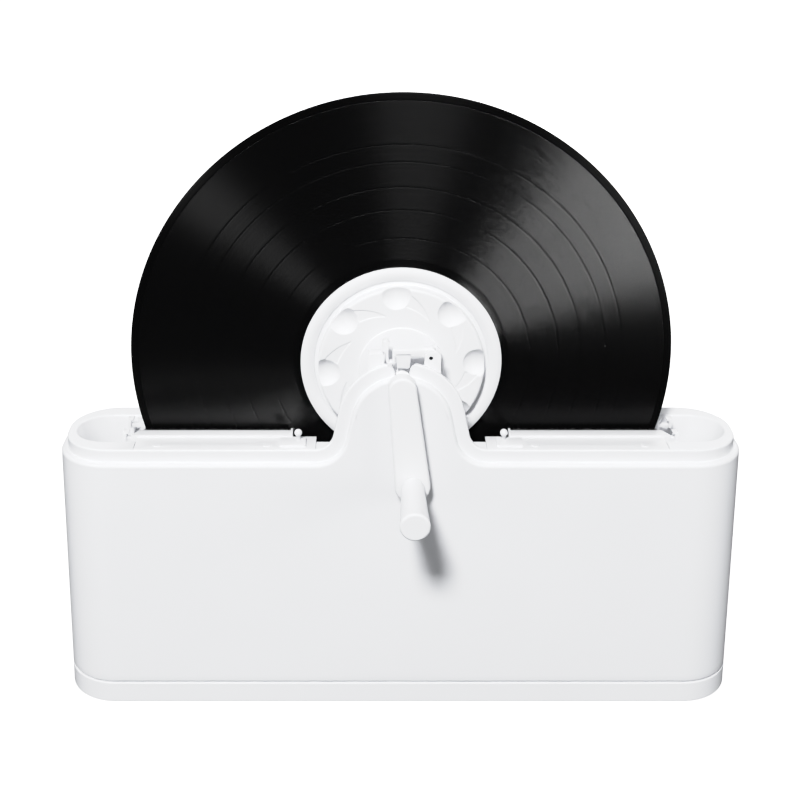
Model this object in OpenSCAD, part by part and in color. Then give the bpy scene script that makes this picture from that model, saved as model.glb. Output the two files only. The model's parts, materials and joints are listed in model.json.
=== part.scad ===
// Hand-cranked record washing basin.
// A long narrow basin holds a 12 inch record upright on a spindle between two label clamps.
// A crank turns the spindle, and four lift-out brushes scrub the record's two faces.
// Origin: on the table, under the middle of the record. +Z up, -Y towards the crank, X along the basin.

/* [Basin body] */
// Length of the body at the ledge
body_l = 385; // [370:1:430]
// Width of the body at the ledge, front to back
body_w = 67; // [65:1:80]
// Corner radius of the body at the ledge, seen from above
body_r = 30; // [24:1:32]
// Height of the ledge above the table
ledge_z = 154; // [140:1:160]
// How far each end leans out on its way down to the table
end_flare = 4.5; // [1:0.5:8]
// How far the front and the back lean out on their way down
side_flare = 2; // [1:0.5:4]
// Wall thickness of the body and of the inner trough
wall = 3; // [2:0.1:4]
// Rounding of the ledge's outer edge
ledge_round = 2; // [1:0.1:2.5]
// Step from the ledge's outer edge in to the raised rim
rim_step = 3.8; // [3:0.1:5]
// Height of the raised rim above the ledge
rim_h = 7.4; // [5:0.1:9]
// Rounding of the rim's top edge
rim_round = 1; // [0.5:0.1:1.5]

/* [Bell-shaped bearing humps] */
// Radius of the bell's round top at the ledge line
bell_r = 27.5; // [26:0.5:30]
// Drop from the spindle's axis down to the middle of the bell's round top
bell_drop = 24; // [20:0.5:26]
// Lean of the bell's flanks, in degrees
bell_lean = 12; // [8:1:16]
// Radius of the hollow curve from flank to ledge
bell_foot_r = 18; // [14:0.5:22]
// Thickness of the bell wall behind the rim's outer face
bell_wall = 3.2; // [2.4:0.1:4]
// Width of the slot that takes the spindle's bush
slot_w = 8; // [7.4:0.1:9]
// Radius of the two shoulders at the slot's mouth
slot_shoulder_r = 5; // [3:0.5:6]

/* [Trough] */
// Width of the rim left at the trough's two ends
mouth_land = 8.5; // [7:0.5:16]
// Width of the trough's mouth
mouth_w = 36; // [32:1:38]
// How far the trough's ends slope in on the way down to its waist
waist_in = 31; // [24:1:34]
// Width of the trough halfway down
waist_w = 31; // [29:1:33]
// Depth of that waist under the rim
waist_depth = 80; // [60:1:90]
// How far the trough's ends slope in on the way down to its floor
floor_in = 84; // [70:1:100]
// Width of the trough's floor
floor_w = 27; // [24:1:30]
// Gap between the record's lowest edge and the trough's floor
floor_gap = 6; // [4:0.5:10]

/* [Base plate] */
// Height of the base plate's side, up to the seam
base_h = 13.5; // [10:0.5:18]
// Width of the groove that marks the seam
seam = 0.6; // [0.3:0.1:1]
// Distance of the outer screws from the middle
screw_x = 150; // [120:1:160]
// Radius of a screw's shank
screw_r = 1.4; // [1.2:0.1:1.8]
// Radius of a screw's head
screw_head_r = 2.9; // [2.4:0.1:3.4]
// Length of a screw
screw_l = 16; // [12:1:20]

/* [Record] */
// Height of the spindle's axis above the table
axle_z = 202; // [200:1:210]
// Radius of the record
record_r = 150.8; // [150:0.1:151.2]
// Thickness of the record at its edge and label
record_t = 1.9; // [1.6:0.1:2.4]
// Depth of the grooved band under the edge and label
groove_drop = 0.25; // [0.1:0.05:0.4]
// Width of the smooth band between the grooves and the record's edge
edge_band = 3.8; // [3:0.1:6]
// Radius of the label's edge
label_r = 50.5; // [50:0.1:51]
// Radius of the record's centre hole
hole_r = 3.65; // [3.6:0.01:3.75]

/* [Label clamps] */
// Radius of the clamp's outer flange
clamp_r = 56; // [54:0.5:60]
// Radius of the raised grip plate
grip_r = 46; // [44:0.5:48]
// Height of the flange's face over the record
flange_h = 2.9; // [2.4:0.1:4]
// Height of the grip plate's face over the record
grip_h = 8; // [6:0.1:9]
// Radius of the inner disc on the grip plate
disc_r = 23.5; // [20:0.5:26]
// Height of the inner disc over the grip plate
disc_h = 0.9; // [0.5:0.1:1.5]
// Radius of the hub
hub_r = 8; // [7:0.1:9]
// Height of the hub over the record
hub_h = 11; // [10:0.1:11.5]
// Number of finger dimples round the clamp
dimples = 8; // [6:1:10]
// Distance of the dimples from the axis
dimple_at = 42; // [40:0.5:43]
// Radius of the dimple's mouth
dimple_r = 8; // [6:0.5:9]
// Depth of a dimple
dimple_deep = 3.6; // [2:0.1:4.5]
// Angle of the first dimple from straight up, in degrees
dimple_turn = 4; // [0:1:22]
// Depth of the swirl cut beside each dimple
swirl_deep = 0.9; // [0.4:0.1:1.4]
// Radial width of the rubber seal
seal_w = 3; // [2:0.1:4]
// Height of the seal between record and clamp
seal_h = 1.7; // [1.2:0.1:2]
// Gap between the record's label and the clamp's back
label_gap = 1; // [0.6:0.1:1.6]

/* [Spindle and crank] */
// Radius of the threaded pin that passes through the record
pin_r = 3.5; // [3:0.05:3.55]
// Radius of the shaft where it turns in the bushes
journal_r = 2.75; // [2.4:0.05:3]
// Running clearance of the shaft in the bushes, all round
run_gap = 0.06; // [0.02:0.01:0.1]
// Clearance of a bush in its slot, all round
bush_gap = 0.3; // [0.2:0.05:0.4]
// Radius of a bush's flanges
bush_flange_r = 5; // [4.8:0.1:5.6]
// Thickness of a bush's flanges
bush_flange_t = 1.2; // [0.8:0.1:1.6]
// Width across the flats of the drive neck at the clamp
neck_w = 9.2; // [8:0.1:10]
// Length of the drive neck's taper
neck_l = 6.5; // [5:0.5:6.5]
// Crank throw, from the spindle's axis to the knob's axis
crank_throw = 57; // [45:1:70]
// Lean of the crank arm at rest, in degrees
crank_lean = 6; // [0:1:10]
// Radius of the arm's end at the spindle
arm_top_r = 7.6; // [7:0.1:9]
// Radius of the arm's end at the knob
arm_end_r = 9.8; // [8:0.1:11]
// Thickness of the arm
arm_t = 8; // [6:0.5:10]
// Gap between the arm and the bush in front of the body
arm_gap = 0.8; // [0.5:0.1:2]
// Length of the crank knob
knob_l = 45; // [35:1:60]
// Radius of the knob at the arm
knob_r = 6.4; // [5.5:0.1:7]
// Radius of the knob at its free end
knob_end_r = 8.1; // [7:0.1:9]
// Radius of the stud that the knob turns on
stud_r = 2.5; // [2:0.1:3]
// Gap between the knob and the arm
knob_gap = 0.6; // [0.4:0.1:1]

/* [Latches] */
// Distance of the latch's hinge from the middle
hinge_x = 15.6; // [15:0.1:17]
// Height of the latch's hinge above the spindle's axis
hinge_up = 12.4; // [11:0.1:13]
// Radius of the hinge pin
hinge_pin_r = 1.2; // [1:0.1:1.4]
// Width of the latch strap, front to back
strap_w = 4.6; // [4:0.1:5]
// Thickness of the latch strap
strap_t = 2.4; // [2:0.1:3]
// Thickness of the bracket's ears
ear_t = 2.4; // [2:0.1:2.6]
// Thickness of the latch's spring leg
leg_t = 1.3; // [1:0.1:1.6]
// Gap between moving latch parts and the bracket
latch_gap = 0.3; // [0.2:0.05:0.4]
// Wall of the latch's knuckle round its pin
knuckle_wall = 1.8; // [1.4:0.1:2]
// Height of the strap's underside over the hinge
strap_rise = 1.2; // [0.8:0.1:1.6]
// Gap between the shaft and the tongue under the strap
pad_gap = 2.4; // [2.3:0.1:3]
// Width of the tongue at the strap
pad_w = 8.4; // [7:0.1:8.6]
// Width of the tongue's tip over the shaft
pad_tip_w = 7; // [6:0.1:7.4]
// How far the tongue stands off to the right of the shaft
pad_off = 0.8; // [0:0.1:1]
// Setback of the tongue's face from the strap's
pad_back = 0.8; // [0.4:0.1:1.4]
// Distance of the latch's inner leg from the middle
leg_at = 3.8; // [3.6:0.1:4.5]
// Width of the slit in the latch's U spring
slit_w = 2.3; // [1.6:0.1:2.6]
// Drop of the U spring's bend below the strap
leg_drop = 3.5; // [2:0.1:5]
// Height of the finger tab over the hinge
tab_up = 9.2; // [8:0.1:11]
// Reach of the bracket's ears from the hinge towards the middle
ear_near = 3.4; // [3.2:0.1:4.4]
// Reach of the bracket's ears from the hinge away from the middle
ear_far = 5.4; // [4.5:0.1:6]
// Height of the bracket's ears over the hinge
ear_up = 3.6; // [3:0.1:4.5]
// Width of the catch block
catch_w = 9; // [7:0.5:10]
// Height of the catch block over the hinge
catch_up = 2.4; // [1.6:0.1:2.6]
// Drop from the spindle's axis to the foot of the bracket
bracket_drop = 9; // [7:0.5:10]
// Height of the saddle plate over the spindle's axis
saddle_up = 3; // [2:0.1:4]
// Gap between the catch block and the latch's outer leg
catch_gap = 0.9; // [0.6:0.1:1.2]

/* [Brushes] */
// Distance from the middle to a brush bar's inner end
bar_in = 62; // [60:0.5:70]
// Distance from a brush bar's outer end to the end of the body
bar_end = 44.5; // [42:0.5:60]
// Depth of the bar, front to back
bar_w = 7; // [5:0.5:8]
// How much longer the bar's front edge is than its back edge
bar_slant = 3.8; // [1:0.1:5]
// Height of the bar's top over the rim
bar_up = 1; // [0.4:0.1:2]
// Thickness of the flange that lies on the deck
flange_t = 1.5; // [1:0.1:2]
// How far the holder's flange reaches in past the bar, towards the hump
flange_in = 14.5; // [10:0.5:14.5]
// Land left between the rim's face and the flange's seat
seat_land = 1.8; // [1.2:0.1:2.4]
// Gap round the flange in its seat
seat_gap = 0.3; // [0.2:0.1:0.6]
// Height of the brush board, down from the rim
board_h = 66; // [50:1:70]
// Thickness of the brush board
board_t = 2.4; // [1.6:0.1:3]
// Thickness of the bristles' backing
backing_t = 1; // [0.6:0.1:1.4]
// Gap between bristle tips and the record
tip_gap = 0.35; // [0.3:0.05:0.6]
// Length of the bristles
bristle_l = 3.1; // [2.5:0.1:3.5]
// Radius of one bristle tuft
bristle_r = 0.55; // [0.4:0.05:0.8]
// Distance of a holder's outer ribs from the ends of its board
rib_in = 4; // [2:0.5:8]
// Thickness of a rib
rib_t = 2; // [1.4:0.1:2.6]
// Distance of the two round marks on the flange from the bar's ends
mark_in = 12.5; // [8:0.5:20]
// Radius of such a mark
mark_r = 2.3; // [1.5:0.1:3]
// Number of tufts along a brush
tuft_columns = 20; // [14:1:24]
// Number of tufts down a brush
tuft_rows = 6; // [4:1:6]
// Radius of the ball on a lift pin
ball_r = 2.15; // [1.8:0.05:2.6]
// Height of a lift pin over the rim
ball_up = 7.2; // [6:0.1:9]
// Radius of a lift pin's neck
ball_neck_r = 1.15; // [0.9:0.05:1.4]

/* [Hidden] */
$fn = 48;

// Overlap that carries a cut cleanly past a face
eps = 0.5;
rim_z = ledge_z + rim_h;
rim_l = body_l - 2 * rim_step;
rim_w = body_w - 2 * rim_step;
rim_r = body_r - rim_step;
// The bell wall's inner face, and the body's outer face at the ledge
bell_in = rim_w / 2 - bell_wall;
bell_out = body_w / 2;
bell_z = axle_z - bell_drop;
mouth_l = body_l - 2 * mouth_land;
waist_l = mouth_l - 2 * waist_in;
floor_l = mouth_l - 2 * floor_in;
groove_r = record_r - edge_band;
bar_l = body_l / 2 - bar_end - bar_in;
// Half the record's thickness, where the clamps, seals and brushes start from
face = record_t / 2;
trough_floor = axle_z - record_r - floor_gap;

// Points of a quarter turn or less, from angle a to angle b
function arc(cx, cy, r, a, b, n) = [
  for (i = [0:n]) let (t = a + (b - a) * i / n) [cx + r * cos(t), cy + r * sin(t)]
];

// Where the bell's foot curve is centred, for every offset of the outline
foot_cz = ledge_z + bell_foot_r;
foot_cx = (bell_r + bell_foot_r - (foot_cz - bell_z) * sin(bell_lean)) / cos(bell_lean);

// Half of the bell's outline, from its foot up to the top, grown by d
function half_bell(d) = concat(
  arc(foot_cx, foot_cz, bell_foot_r - d, 270, 180 + bell_lean, 7),
  arc(0, bell_z, bell_r + d, bell_lean, 90, 9)
);
function flip(pts) = [for (i = [len(pts) - 2:-1:0]) [-pts[i][0], pts[i][1]]];
// The whole bell, closed through a point under its middle, with its foot sunk to z = low
function bell(d, low) = concat(
  [[0, low], [foot_cx, low]],
  half_bell(d),
  flip(half_bell(d)),
  [[-foot_cx, low]]
);

// A solid through stacked rings of points; the ends are fans from each ring's first point
module loft(rings) {
  n = len(rings[0]);
  m = len(rings);
  polyhedron(
    points = [for (r = rings) each r],
    faces = concat(
      [for (i = [1:n - 2]) [0, i + 1, i]],
      [for (k = [0:m - 2], i = [0:n - 1]) [k * n + i, k * n + n + (i + 1) % n, k * n + n + i]],
      [for (k = [0:m - 2], i = [0:n - 1]) [k * n + i, k * n + (i + 1) % n, k * n + n + (i + 1) % n]],
      [for (i = [1:n - 2]) [(m - 1) * n, (m - 1) * n + i, (m - 1) * n + i + 1]]
    ),
    convexity = 6
  );
}

// A bell-shaped wall from y = back to y = front, grown by d, with its front edge rounded
module bell_wall_solid(d, front, back, round_r, low) {
  steps = 4;
  rings = concat(
    [for (i = [0:steps]) let (a = 90 * i / steps)
      [for (p = bell(d - round_r * (1 - sin(a)), low)) [p[0], front + round_r * (1 - cos(a)), p[1]]]],
    [[for (p = bell(d, low)) [p[0], back, p[1]]]]
  );
  loft(rings);
}

// Four upright corner posts; hull() turns a stack of them into a rounded box
module posts(l, w, r, z, h) {
  for (sx = [-1, 1], sy = [-1, 1])
    translate([sx * (l / 2 - r), sy * (w / 2 - r), z]) cylinder(r = r, h = h);
}

// Two upright end posts, for a slot-shaped outline
module end_posts(l, w, z, h) {
  for (sx = [-1, 1]) translate([sx * (l - w) / 2, 0, z]) cylinder(r = w / 2, h = h);
}

// Length and width of the leaning body at height z, and its outline drawn in by inset
band = 0.6;
function flare(z) = (ledge_z - z) / ledge_z;
function out_l(z) = body_l + 2 * end_flare * flare(z);
function out_w(z) = body_w + 2 * side_flare * flare(z);
module body_level(z, inset) {
  posts(out_l(z) - 2 * inset, out_w(z) - 2 * inset, body_r - inset, z, band);
}

// Nested posts whose hull is a block from z0 up to z1 with a rounded top edge
module round_top(l, w, r, z0, z1, edge, step) {
  for (a = [0:step:90]) let (inset = edge * (1 - cos(a)))
    posts(l - 2 * inset, w - 2 * inset, r - inset, z0, z1 - edge * (1 - sin(a)) - z0);
}

// How far the humps are sunk into the body, so that their faces don't lie in the body's own
sink = 0.08;

// Leaning body with its rounded ledge, the raised rim, and a bell-shaped hump on each long side
module tub_outside() {
  hull() {
    body_level(base_h, seam);
    body_level(base_h + seam, 0);
    round_top(body_l, body_w, body_r, ledge_z - rim_h, ledge_z, ledge_round, 22.5);
  }
  hull() round_top(rim_l, rim_w, rim_r, ledge_z - wall, rim_z, rim_round, 30);
  for (side = [0, 1]) mirror([0, side, 0]) translate([0, sink, -sink]) {
    bell_wall_solid(0, -bell_out, -rim_w / 2 + rim_round, ledge_round, ledge_z - rim_h);
    bell_wall_solid(rim_h, -rim_w / 2, -bell_in, rim_round, ledge_z - wall / 2);
  }
}

// Trough with sloping round ends, grown by g; its mouth runs up to height top
module trough(g, top) {
  hull() {
    end_posts(mouth_l + 2 * g, mouth_w + 2 * g, rim_z - band, top - rim_z + band);
    end_posts(waist_l + 2 * g, waist_w + 2 * g, rim_z - waist_depth, band);
    end_posts(floor_l + 2 * g, floor_w + 2 * g, trough_floor - g, band);
  }
}

// The slot that the spindle drops into, round at the bottom and rolled out at its mouth
module slot_outline(top, shoulder) {
  half = slot_w / 2;
  translate([0, axle_z]) circle(r = half);
  translate([-half, axle_z]) square([slot_w, top - axle_z + bell_r]);
  difference() {
    translate([-half - shoulder, top - shoulder]) square([2 * (half + shoulder), shoulder + bell_r]);
    for (s = [-1, 1]) translate([s * (half + shoulder), top - shoulder]) circle(r = shoulder);
  }
}

// Height of the bell's outline, grown by d, at distance x from the middle
function bell_top(d, x) = bell_z + sqrt(pow(bell_r + d, 2) - x * x);

// The slot, cut through the rim's wall and the lower wall in front of it
module slot_cut() {
  translate([0, -bell_in + 2 * eps, 0]) rotate([90, 0, 0]) linear_extrude(bell_out - bell_in + 4 * eps)
    slot_outline(bell_top(rim_h, slot_w / 2 + slot_shoulder_r), slot_shoulder_r);
}

// Where the case screws go: four near the corners and two in the middle
screw_y = out_w(base_h) / 2 - wall - screw_head_r;
boss_r = screw_head_r + 0.8;
module at_screws() {
  for (x = [-screw_x, 0, screw_x], s = [-1, 1]) translate([x, s * screw_y, 0]) children();
}

// The hollow between the skirt and the trough, open at the bottom for the base plate
module under_hollow() {
  difference() {
    union() {
      hull() {
        posts(out_l(base_h) - 2 * wall, out_w(base_h) - 2 * wall, body_r - wall, base_h - eps, band);
        posts(body_l - 2 * wall, body_w - 2 * wall, body_r - wall, ledge_z - wall - band, band);
      }
      hull() posts(rim_l - 2 * wall, rim_w - 2 * wall, rim_r - wall, ledge_z - 2 * wall, rim_h + wall);
    }
    trough(wall, rim_z);
    at_screws() cylinder(r = boss_r, h = base_h + screw_l);
  }
}

// The seats in the deck for the four brush holders
flange_sunk = 0.2;
seat_depth = flange_t + flange_sunk;
bar_out = bar_in + bar_l;
flange_front = rim_w / 2 - seat_land - seat_gap;
module holder_seats() {
  for (sx = [0, 1], sy = [0, 1]) mirror([sx, 0, 0]) mirror([0, sy, 0])
    translate([bar_in - flange_in - seat_gap, -flange_front - seat_gap, rim_z - seat_depth])
      cube([bar_l + flange_in + 2 * seat_gap, flange_front + seat_gap - mouth_w / 4, seat_depth + eps]);
}

module basin_tub() {
  color("white") difference() {
    tub_outside();
    under_hollow();
    trough(0, rim_z + eps);
    holder_seats();
    for (side = [0, 1]) mirror([0, side, 0]) slot_cut();
    at_screws() translate([0, 0, base_h - eps]) cylinder(r = screw_r + 0.05, h = screw_l + eps);
  }
}

// Shallow tray that closes the body from below, with a locating rib inside the skirt
module base_plate() {
  rib_gap = 0.15;
  rib_h = 4;
  color("white") difference() {
    union() {
      hull() {
        body_level(0, seam);
        body_level(seam, 0);
        body_level(base_h - seam - band, 0);
        posts(out_l(base_h) - 2 * seam, out_w(base_h) - 2 * seam, body_r - seam, base_h - band, band);
      }
      hull() posts(out_l(base_h) - 2 * (wall + rib_gap), out_w(base_h) - 2 * (wall + rib_gap),
        body_r - wall - rib_gap, base_h - band, rib_h + band);
    }
    difference() {
      hull() {
        posts(out_l(wall) - 4 * wall, out_w(wall) - 4 * wall, body_r - 2 * wall, wall, band);
        posts(out_l(base_h) - 4 * wall, out_w(base_h) - 4 * wall, body_r - 2 * wall, base_h + rib_h, band);
      }
      at_screws() cylinder(r = boss_r, h = base_h);
    }
    at_screws() translate([0, 0, base_h]) cylinder(r = boss_r + rib_gap, h = rib_h + eps);
    at_screws() translate([0, 0, -eps]) cylinder(r = screw_r + 0.3, h = base_h + 2 * eps);
    at_screws() translate([0, 0, -eps]) cylinder(r = screw_head_r + 0.3, h = base_h - wall + eps);
  }
}

// Pan-head screws, up through the base plate into the tub's bosses
module base_screws() {
  color("silver") at_screws() {
    translate([0, 0, base_h - wall - screw_head_r / 2]) cylinder(r = screw_head_r, h = screw_head_r / 2);
    translate([0, 0, base_h - wall - eps]) cylinder(r = screw_r, h = screw_l - wall);
  }
}

/* Latches: everything is drawn for the front, and mirrored for the rear */

// A piece drawn in the X-Z plane, from distance y0 in front of the record out to distance y1
module plate_xz(y0, y1) {
  translate([0, -y0, 0]) rotate([90, 0, 0]) linear_extrude(y1 - y0) children();
}

hinge_z = axle_z + hinge_up;
// The latch's layers, as distances in front of the record
ear_out = bell_in - sink;
ear_in = ear_out - ear_t;
strap_out = ear_in - latch_gap;
strap_in = strap_out - strap_w;
back_ear_out = strap_in - latch_gap;
back_ear_in = back_ear_out - ear_t;
// The strap's underside, its left end, and the catch block's face
strap_low = hinge_z + strap_rise;
leg_x = -leg_at;
catch_x = leg_x - 2 * leg_t - slit_w - catch_gap;
knuckle_r = hinge_pin_r + knuckle_wall;

// Outline of an upright block with two chamfered top corners
module block(x0, x1, z0, z1, chamfer) {
  polygon([
    [x0, z0], [x1, z0], [x1, z1 - chamfer],
    [x1 - chamfer, z1], [x0 + chamfer, z1], [x0, z1 - chamfer]
  ]);
}

// Bracket behind the bell: saddle plate, two hinge ears and the catch block
module latch_bracket() {
  ear_x0 = hinge_x - ear_near;
  ear_x1 = hinge_x + ear_far;
  ear_top = hinge_z + ear_up;
  catch_top = hinge_z + catch_up;
  chamfer = ear_up / 2;
  foot_z = axle_z - bracket_drop;
  ear_foot = hinge_z - knuckle_r - ear_t;
  ear_low = ear_foot - bracket_drop / 2;
  slot_half = bush_flange_r + 2 * latch_gap;
  difference() {
    union() {
      plate_xz(ear_in, ear_out) difference() {
        union() {
          block(catch_x - catch_w, ear_x1, foot_z, axle_z + saddle_up, chamfer / 2);
          block(catch_x - catch_w, catch_x, foot_z, catch_top, chamfer / 2);
          block(ear_x0, ear_x1, foot_z, ear_top, chamfer);
        }
        translate([0, axle_z]) circle(r = slot_half);
        translate([-slot_half, axle_z]) square([2 * slot_half, hinge_up]);
      }
      plate_xz(back_ear_in, back_ear_out) block(ear_x0, ear_x1, ear_low, ear_top, chamfer);
      plate_xz(back_ear_in, ear_out) block(ear_x0, ear_x1, ear_low, ear_foot, chamfer / 4);
      plate_xz(back_ear_out, ear_out) block(catch_x - catch_w, catch_x, axle_z, catch_top, chamfer / 2);
    }
    plate_xz(back_ear_in - eps, ear_out + eps) translate([hinge_x, hinge_z]) circle(r = hinge_pin_r);
  }
}

module front_latch_bracket() {
  color("white") latch_bracket();
}

module rear_latch_bracket() {
  color("white") mirror([0, 1, 0]) latch_bracket();
}

// Steel hinge pin, as long as the bracket is deep
module latch_pin() {
  color("silver") plate_xz(back_ear_in, ear_out - 0.4) translate([hinge_x, hinge_z]) circle(r = hinge_pin_r);
}

module front_latch_pin() {
  latch_pin();
}

module rear_latch_pin() {
  mirror([0, 1, 0]) latch_pin();
}

// Strap over the shaft, folded at its free end into a U spring with a finger tab
module latch() {
  strap_top = strap_low + strap_t;
  pad_low = axle_z + journal_r + pad_gap;
  leg_low = strap_low - leg_drop;
  tab_x = leg_x - 2 * leg_t - slit_w;
  tab_top = hinge_z + tab_up;
  difference() {
    union() {
      plate_xz(strap_in, strap_out) {
        translate([hinge_x, hinge_z]) circle(r = knuckle_r);
        polygon(concat(
          [[hinge_x, hinge_z - 1], [hinge_x + knuckle_r, hinge_z]],
          arc(hinge_x, strap_top - 2, 3, 0, 90, 4),
          [[hinge_x - 3, strap_top + 0.4], [leg_x - 1, strap_top], [leg_x - leg_t, strap_top - 1]],
          [[leg_x - leg_t, strap_low], [journal_r + 2, strap_low]]
        ));
        translate([leg_x - leg_t, leg_low]) square([leg_t, strap_low - leg_low + 0.5]);
        translate([leg_x - leg_t - slit_w / 2, leg_low]) difference() {
          circle(r = slit_w / 2 + leg_t);
          circle(r = slit_w / 2);
          translate([-slit_w - leg_t, 0]) square([2 * (slit_w + leg_t), slit_w + leg_t]);
        }
        polygon(concat(
          [[tab_x, leg_low - 0.01], [tab_x + leg_t, leg_low - 0.01], [tab_x + leg_t, strap_top + 1]],
          [[tab_x + leg_t + 0.5, tab_top - 2]],
          arc(tab_x - 0.1, tab_top - 1.9, 1.9, 0, 180, 8),
          [[tab_x - 2.4, tab_top - 6.1], [tab_x, tab_top - 7]]
        ));
      }
      plate_xz(strap_in, strap_out - pad_back) translate([pad_off, 0]) polygon([
        [-pad_w / 2, strap_low + 0.5], [pad_w / 2, strap_low + 0.5],
        [pad_tip_w / 2, pad_low], [-pad_tip_w / 2, pad_low]
      ]);
    }
    plate_xz(strap_in - eps, strap_out + eps) translate([hinge_x, hinge_z])
      circle(r = hinge_pin_r + run_gap);
  }
}

module front_latch() {
  color("white") latch();
}

module rear_latch() {
  color("white") mirror([0, 1, 0]) latch();
}

/* Spindle line, drawn along a local Z that points from the record to the front */

module to_front() {
  translate([0, 0, axle_z]) rotate([90, 0, 0]) children();
}

module to_rear() {
  mirror([0, 1, 0]) to_front() children();
}

// Bush with a flange on each side of the bell wall
bush_play = 0.2;
bush_in = bell_in - bush_play - bush_flange_t;
bush_out = bell_out + bush_play + bush_flange_t;
module bush() {
  bore = journal_r + run_gap;
  barrel = slot_w / 2 - bush_gap;
  rotate_extrude() polygon([
    [bore, bush_in], [bush_flange_r, bush_in], [bush_flange_r, bush_in + bush_flange_t],
    [barrel, bush_in + bush_flange_t], [barrel, bush_out - bush_flange_t],
    [bush_flange_r, bush_out - bush_flange_t], [bush_flange_r, bush_out], [bore, bush_out]
  ]);
}

module front_bush() {
  color("whitesmoke") to_front() bush();
}

module rear_bush() {
  color("whitesmoke") to_rear() bush();
}

// Steel spindle: threaded pin through the record at the front, tapered neck and journal at the rear
hub_face = face + hub_h;
neck_end = hub_face + neck_l;
pin_tip = face + label_gap + 4.6;
spigot_r = pin_r + 0.5;
journal_end = bush_out + 1.4;
module spindle() {
  tip = 0.6;
  color("silver") to_rear() rotate_extrude() polygon([
    [0, -pin_tip], [pin_r - tip, -pin_tip], [pin_r, -pin_tip + tip], [pin_r, hub_face],
    [neck_w / 2, hub_face], [journal_r, neck_end], [journal_r, journal_end - tip],
    [journal_r - tip, journal_end], [0, journal_end]
  ]);
}

// One label clamp: sealing flange, shadow channel, dimpled grip plate, inner disc and hub
module clamp() {
  back = label_gap;
  flange_back = 0.6;
  land = clamp_r - grip_r - 1.8;
  seal_in = label_r + 0.6;
  ball = (dimple_r * dimple_r + dimple_deep * dimple_deep) / (2 * dimple_deep);
  swirl_r = 12;
  difference() {
    rotate_extrude($fn = 96) polygon(concat(
      [[pin_r + 0.05, back], [label_r - 2, back]],
      [[label_r - 0.6, flange_back], [clamp_r - 0.4, flange_back]],
      [[clamp_r, flange_back + 0.4]],
      arc(clamp_r - 1.2, flange_h - 1.2, 1.2, 0, 90, 5),
      [[clamp_r - land, flange_h], [clamp_r - land - 0.6, flange_h - 0.8]],
      [[grip_r, flange_h - 0.8]],
      arc(grip_r - 1.6, grip_h - 1.6, 1.6, 0, 90, 5),
      [[pin_r + 0.05, grip_h]]
    ));
    rotate_extrude($fn = 96) translate([seal_in, -eps]) square([seal_w, seal_h + eps]);
    for (i = [0:dimples - 1]) rotate(90 + dimple_turn + 360 * i / dimples) {
      translate([dimple_at, 0, grip_h + ball - dimple_deep]) sphere(r = ball, $fn = 64);
      rotate(-180 / dimples) translate([disc_r + swirl_r / 2 + 3, 0, grip_h]) rotate([0, 0, 60])
        rotate([0, asin(swirl_deep / swirl_r), 0]) cylinder(r = swirl_r, h = 3);
    }
  }
  difference() {
    rotate_extrude($fn = 72) polygon(concat(
      [[pin_r + 0.05, grip_h - 1]],
      [[disc_r, grip_h - 1]],
      arc(disc_r - 0.6, grip_h + disc_h - 0.6, 0.6, 0, 90, 3),
      [[hub_r + 1, grip_h + disc_h], [hub_r, hub_h - 0.4], [hub_r - 0.4, hub_h], [pin_r + 0.05, hub_h]]
    ));
  }
}

module front_clamp() {
  color("white") to_front() difference() {
    translate([0, 0, face]) clamp();
    translate([0, 0, pin_tip + 0.3]) cylinder(r = spigot_r + 0.03, h = hub_h);
  }
}

module rear_clamp() {
  color("white") to_rear() translate([0, 0, face]) clamp();
}

// Soft ring that seals the clamp against the record just outside the label
module seal_ring() {
  seal_in = label_r + 0.6;
  rotate_extrude($fn = 96) translate([seal_in + 0.05, face]) square([seal_w - 0.1, seal_h]);
}

module front_seal() {
  color("dimgray") to_front() seal_ring();
}

module rear_seal() {
  color("dimgray") to_rear() seal_ring();
}

// The record, thicker at its label and at its edge
module vinyl_record() {
  low = face - groove_drop;
  land_r = label_r + seal_w + 1.5;
  half = concat(
    [[hole_r, face], [land_r, face], [land_r + 1.5, low], [groove_r, low], [groove_r + 1.6, face]],
    arc(record_r - face, 0, face, 90, 0, 6)
  );
  color("black") to_front() rotate_extrude($fn = 180)
    polygon(concat(half, [for (i = [len(half) - 2:-1:0]) [half[i][0], -half[i][1]]]));
}

// Square outline with trimmed corners
module trimmed_square(w, trim) {
  h = w / 2;
  polygon([
    [h, trim - h], [h, h - trim], [h - trim, h], [trim - h, h],
    [-h, h - trim], [-h, trim - h], [trim - h, -h], [h - trim, -h]
  ]);
}

// Tapered four-sided neck in the front clamp, then the journal, then a square end for the crank
arm_back = bush_out + arm_gap;
arm_front = arm_back + arm_t;
drive_w = 2 * journal_r * 0.78;
drive_end = arm_front - 2;
module drive_neck() {
  color("white") to_front() {
    translate([0, 0, pin_tip + 0.3]) cylinder(r = spigot_r, h = hub_face - pin_tip - 0.3);
    hull() {
      translate([0, 0, hub_face]) linear_extrude(band) trimmed_square(neck_w, neck_w / 7);
      translate([0, 0, neck_end - band]) linear_extrude(band)
        trimmed_square(2 * journal_r, journal_r / 3);
    }
    translate([0, 0, neck_end - 1]) cylinder(r = journal_r, h = arm_back - neck_end + 1);
    translate([0, 0, arm_back - 0.5]) linear_extrude(drive_end - arm_back + 0.5)
      square(drive_w, center = true);
  }
}

// Things that hang on the crank arm sit on this line
module at_crank() {
  to_front() rotate(crank_lean) children();
}

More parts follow.
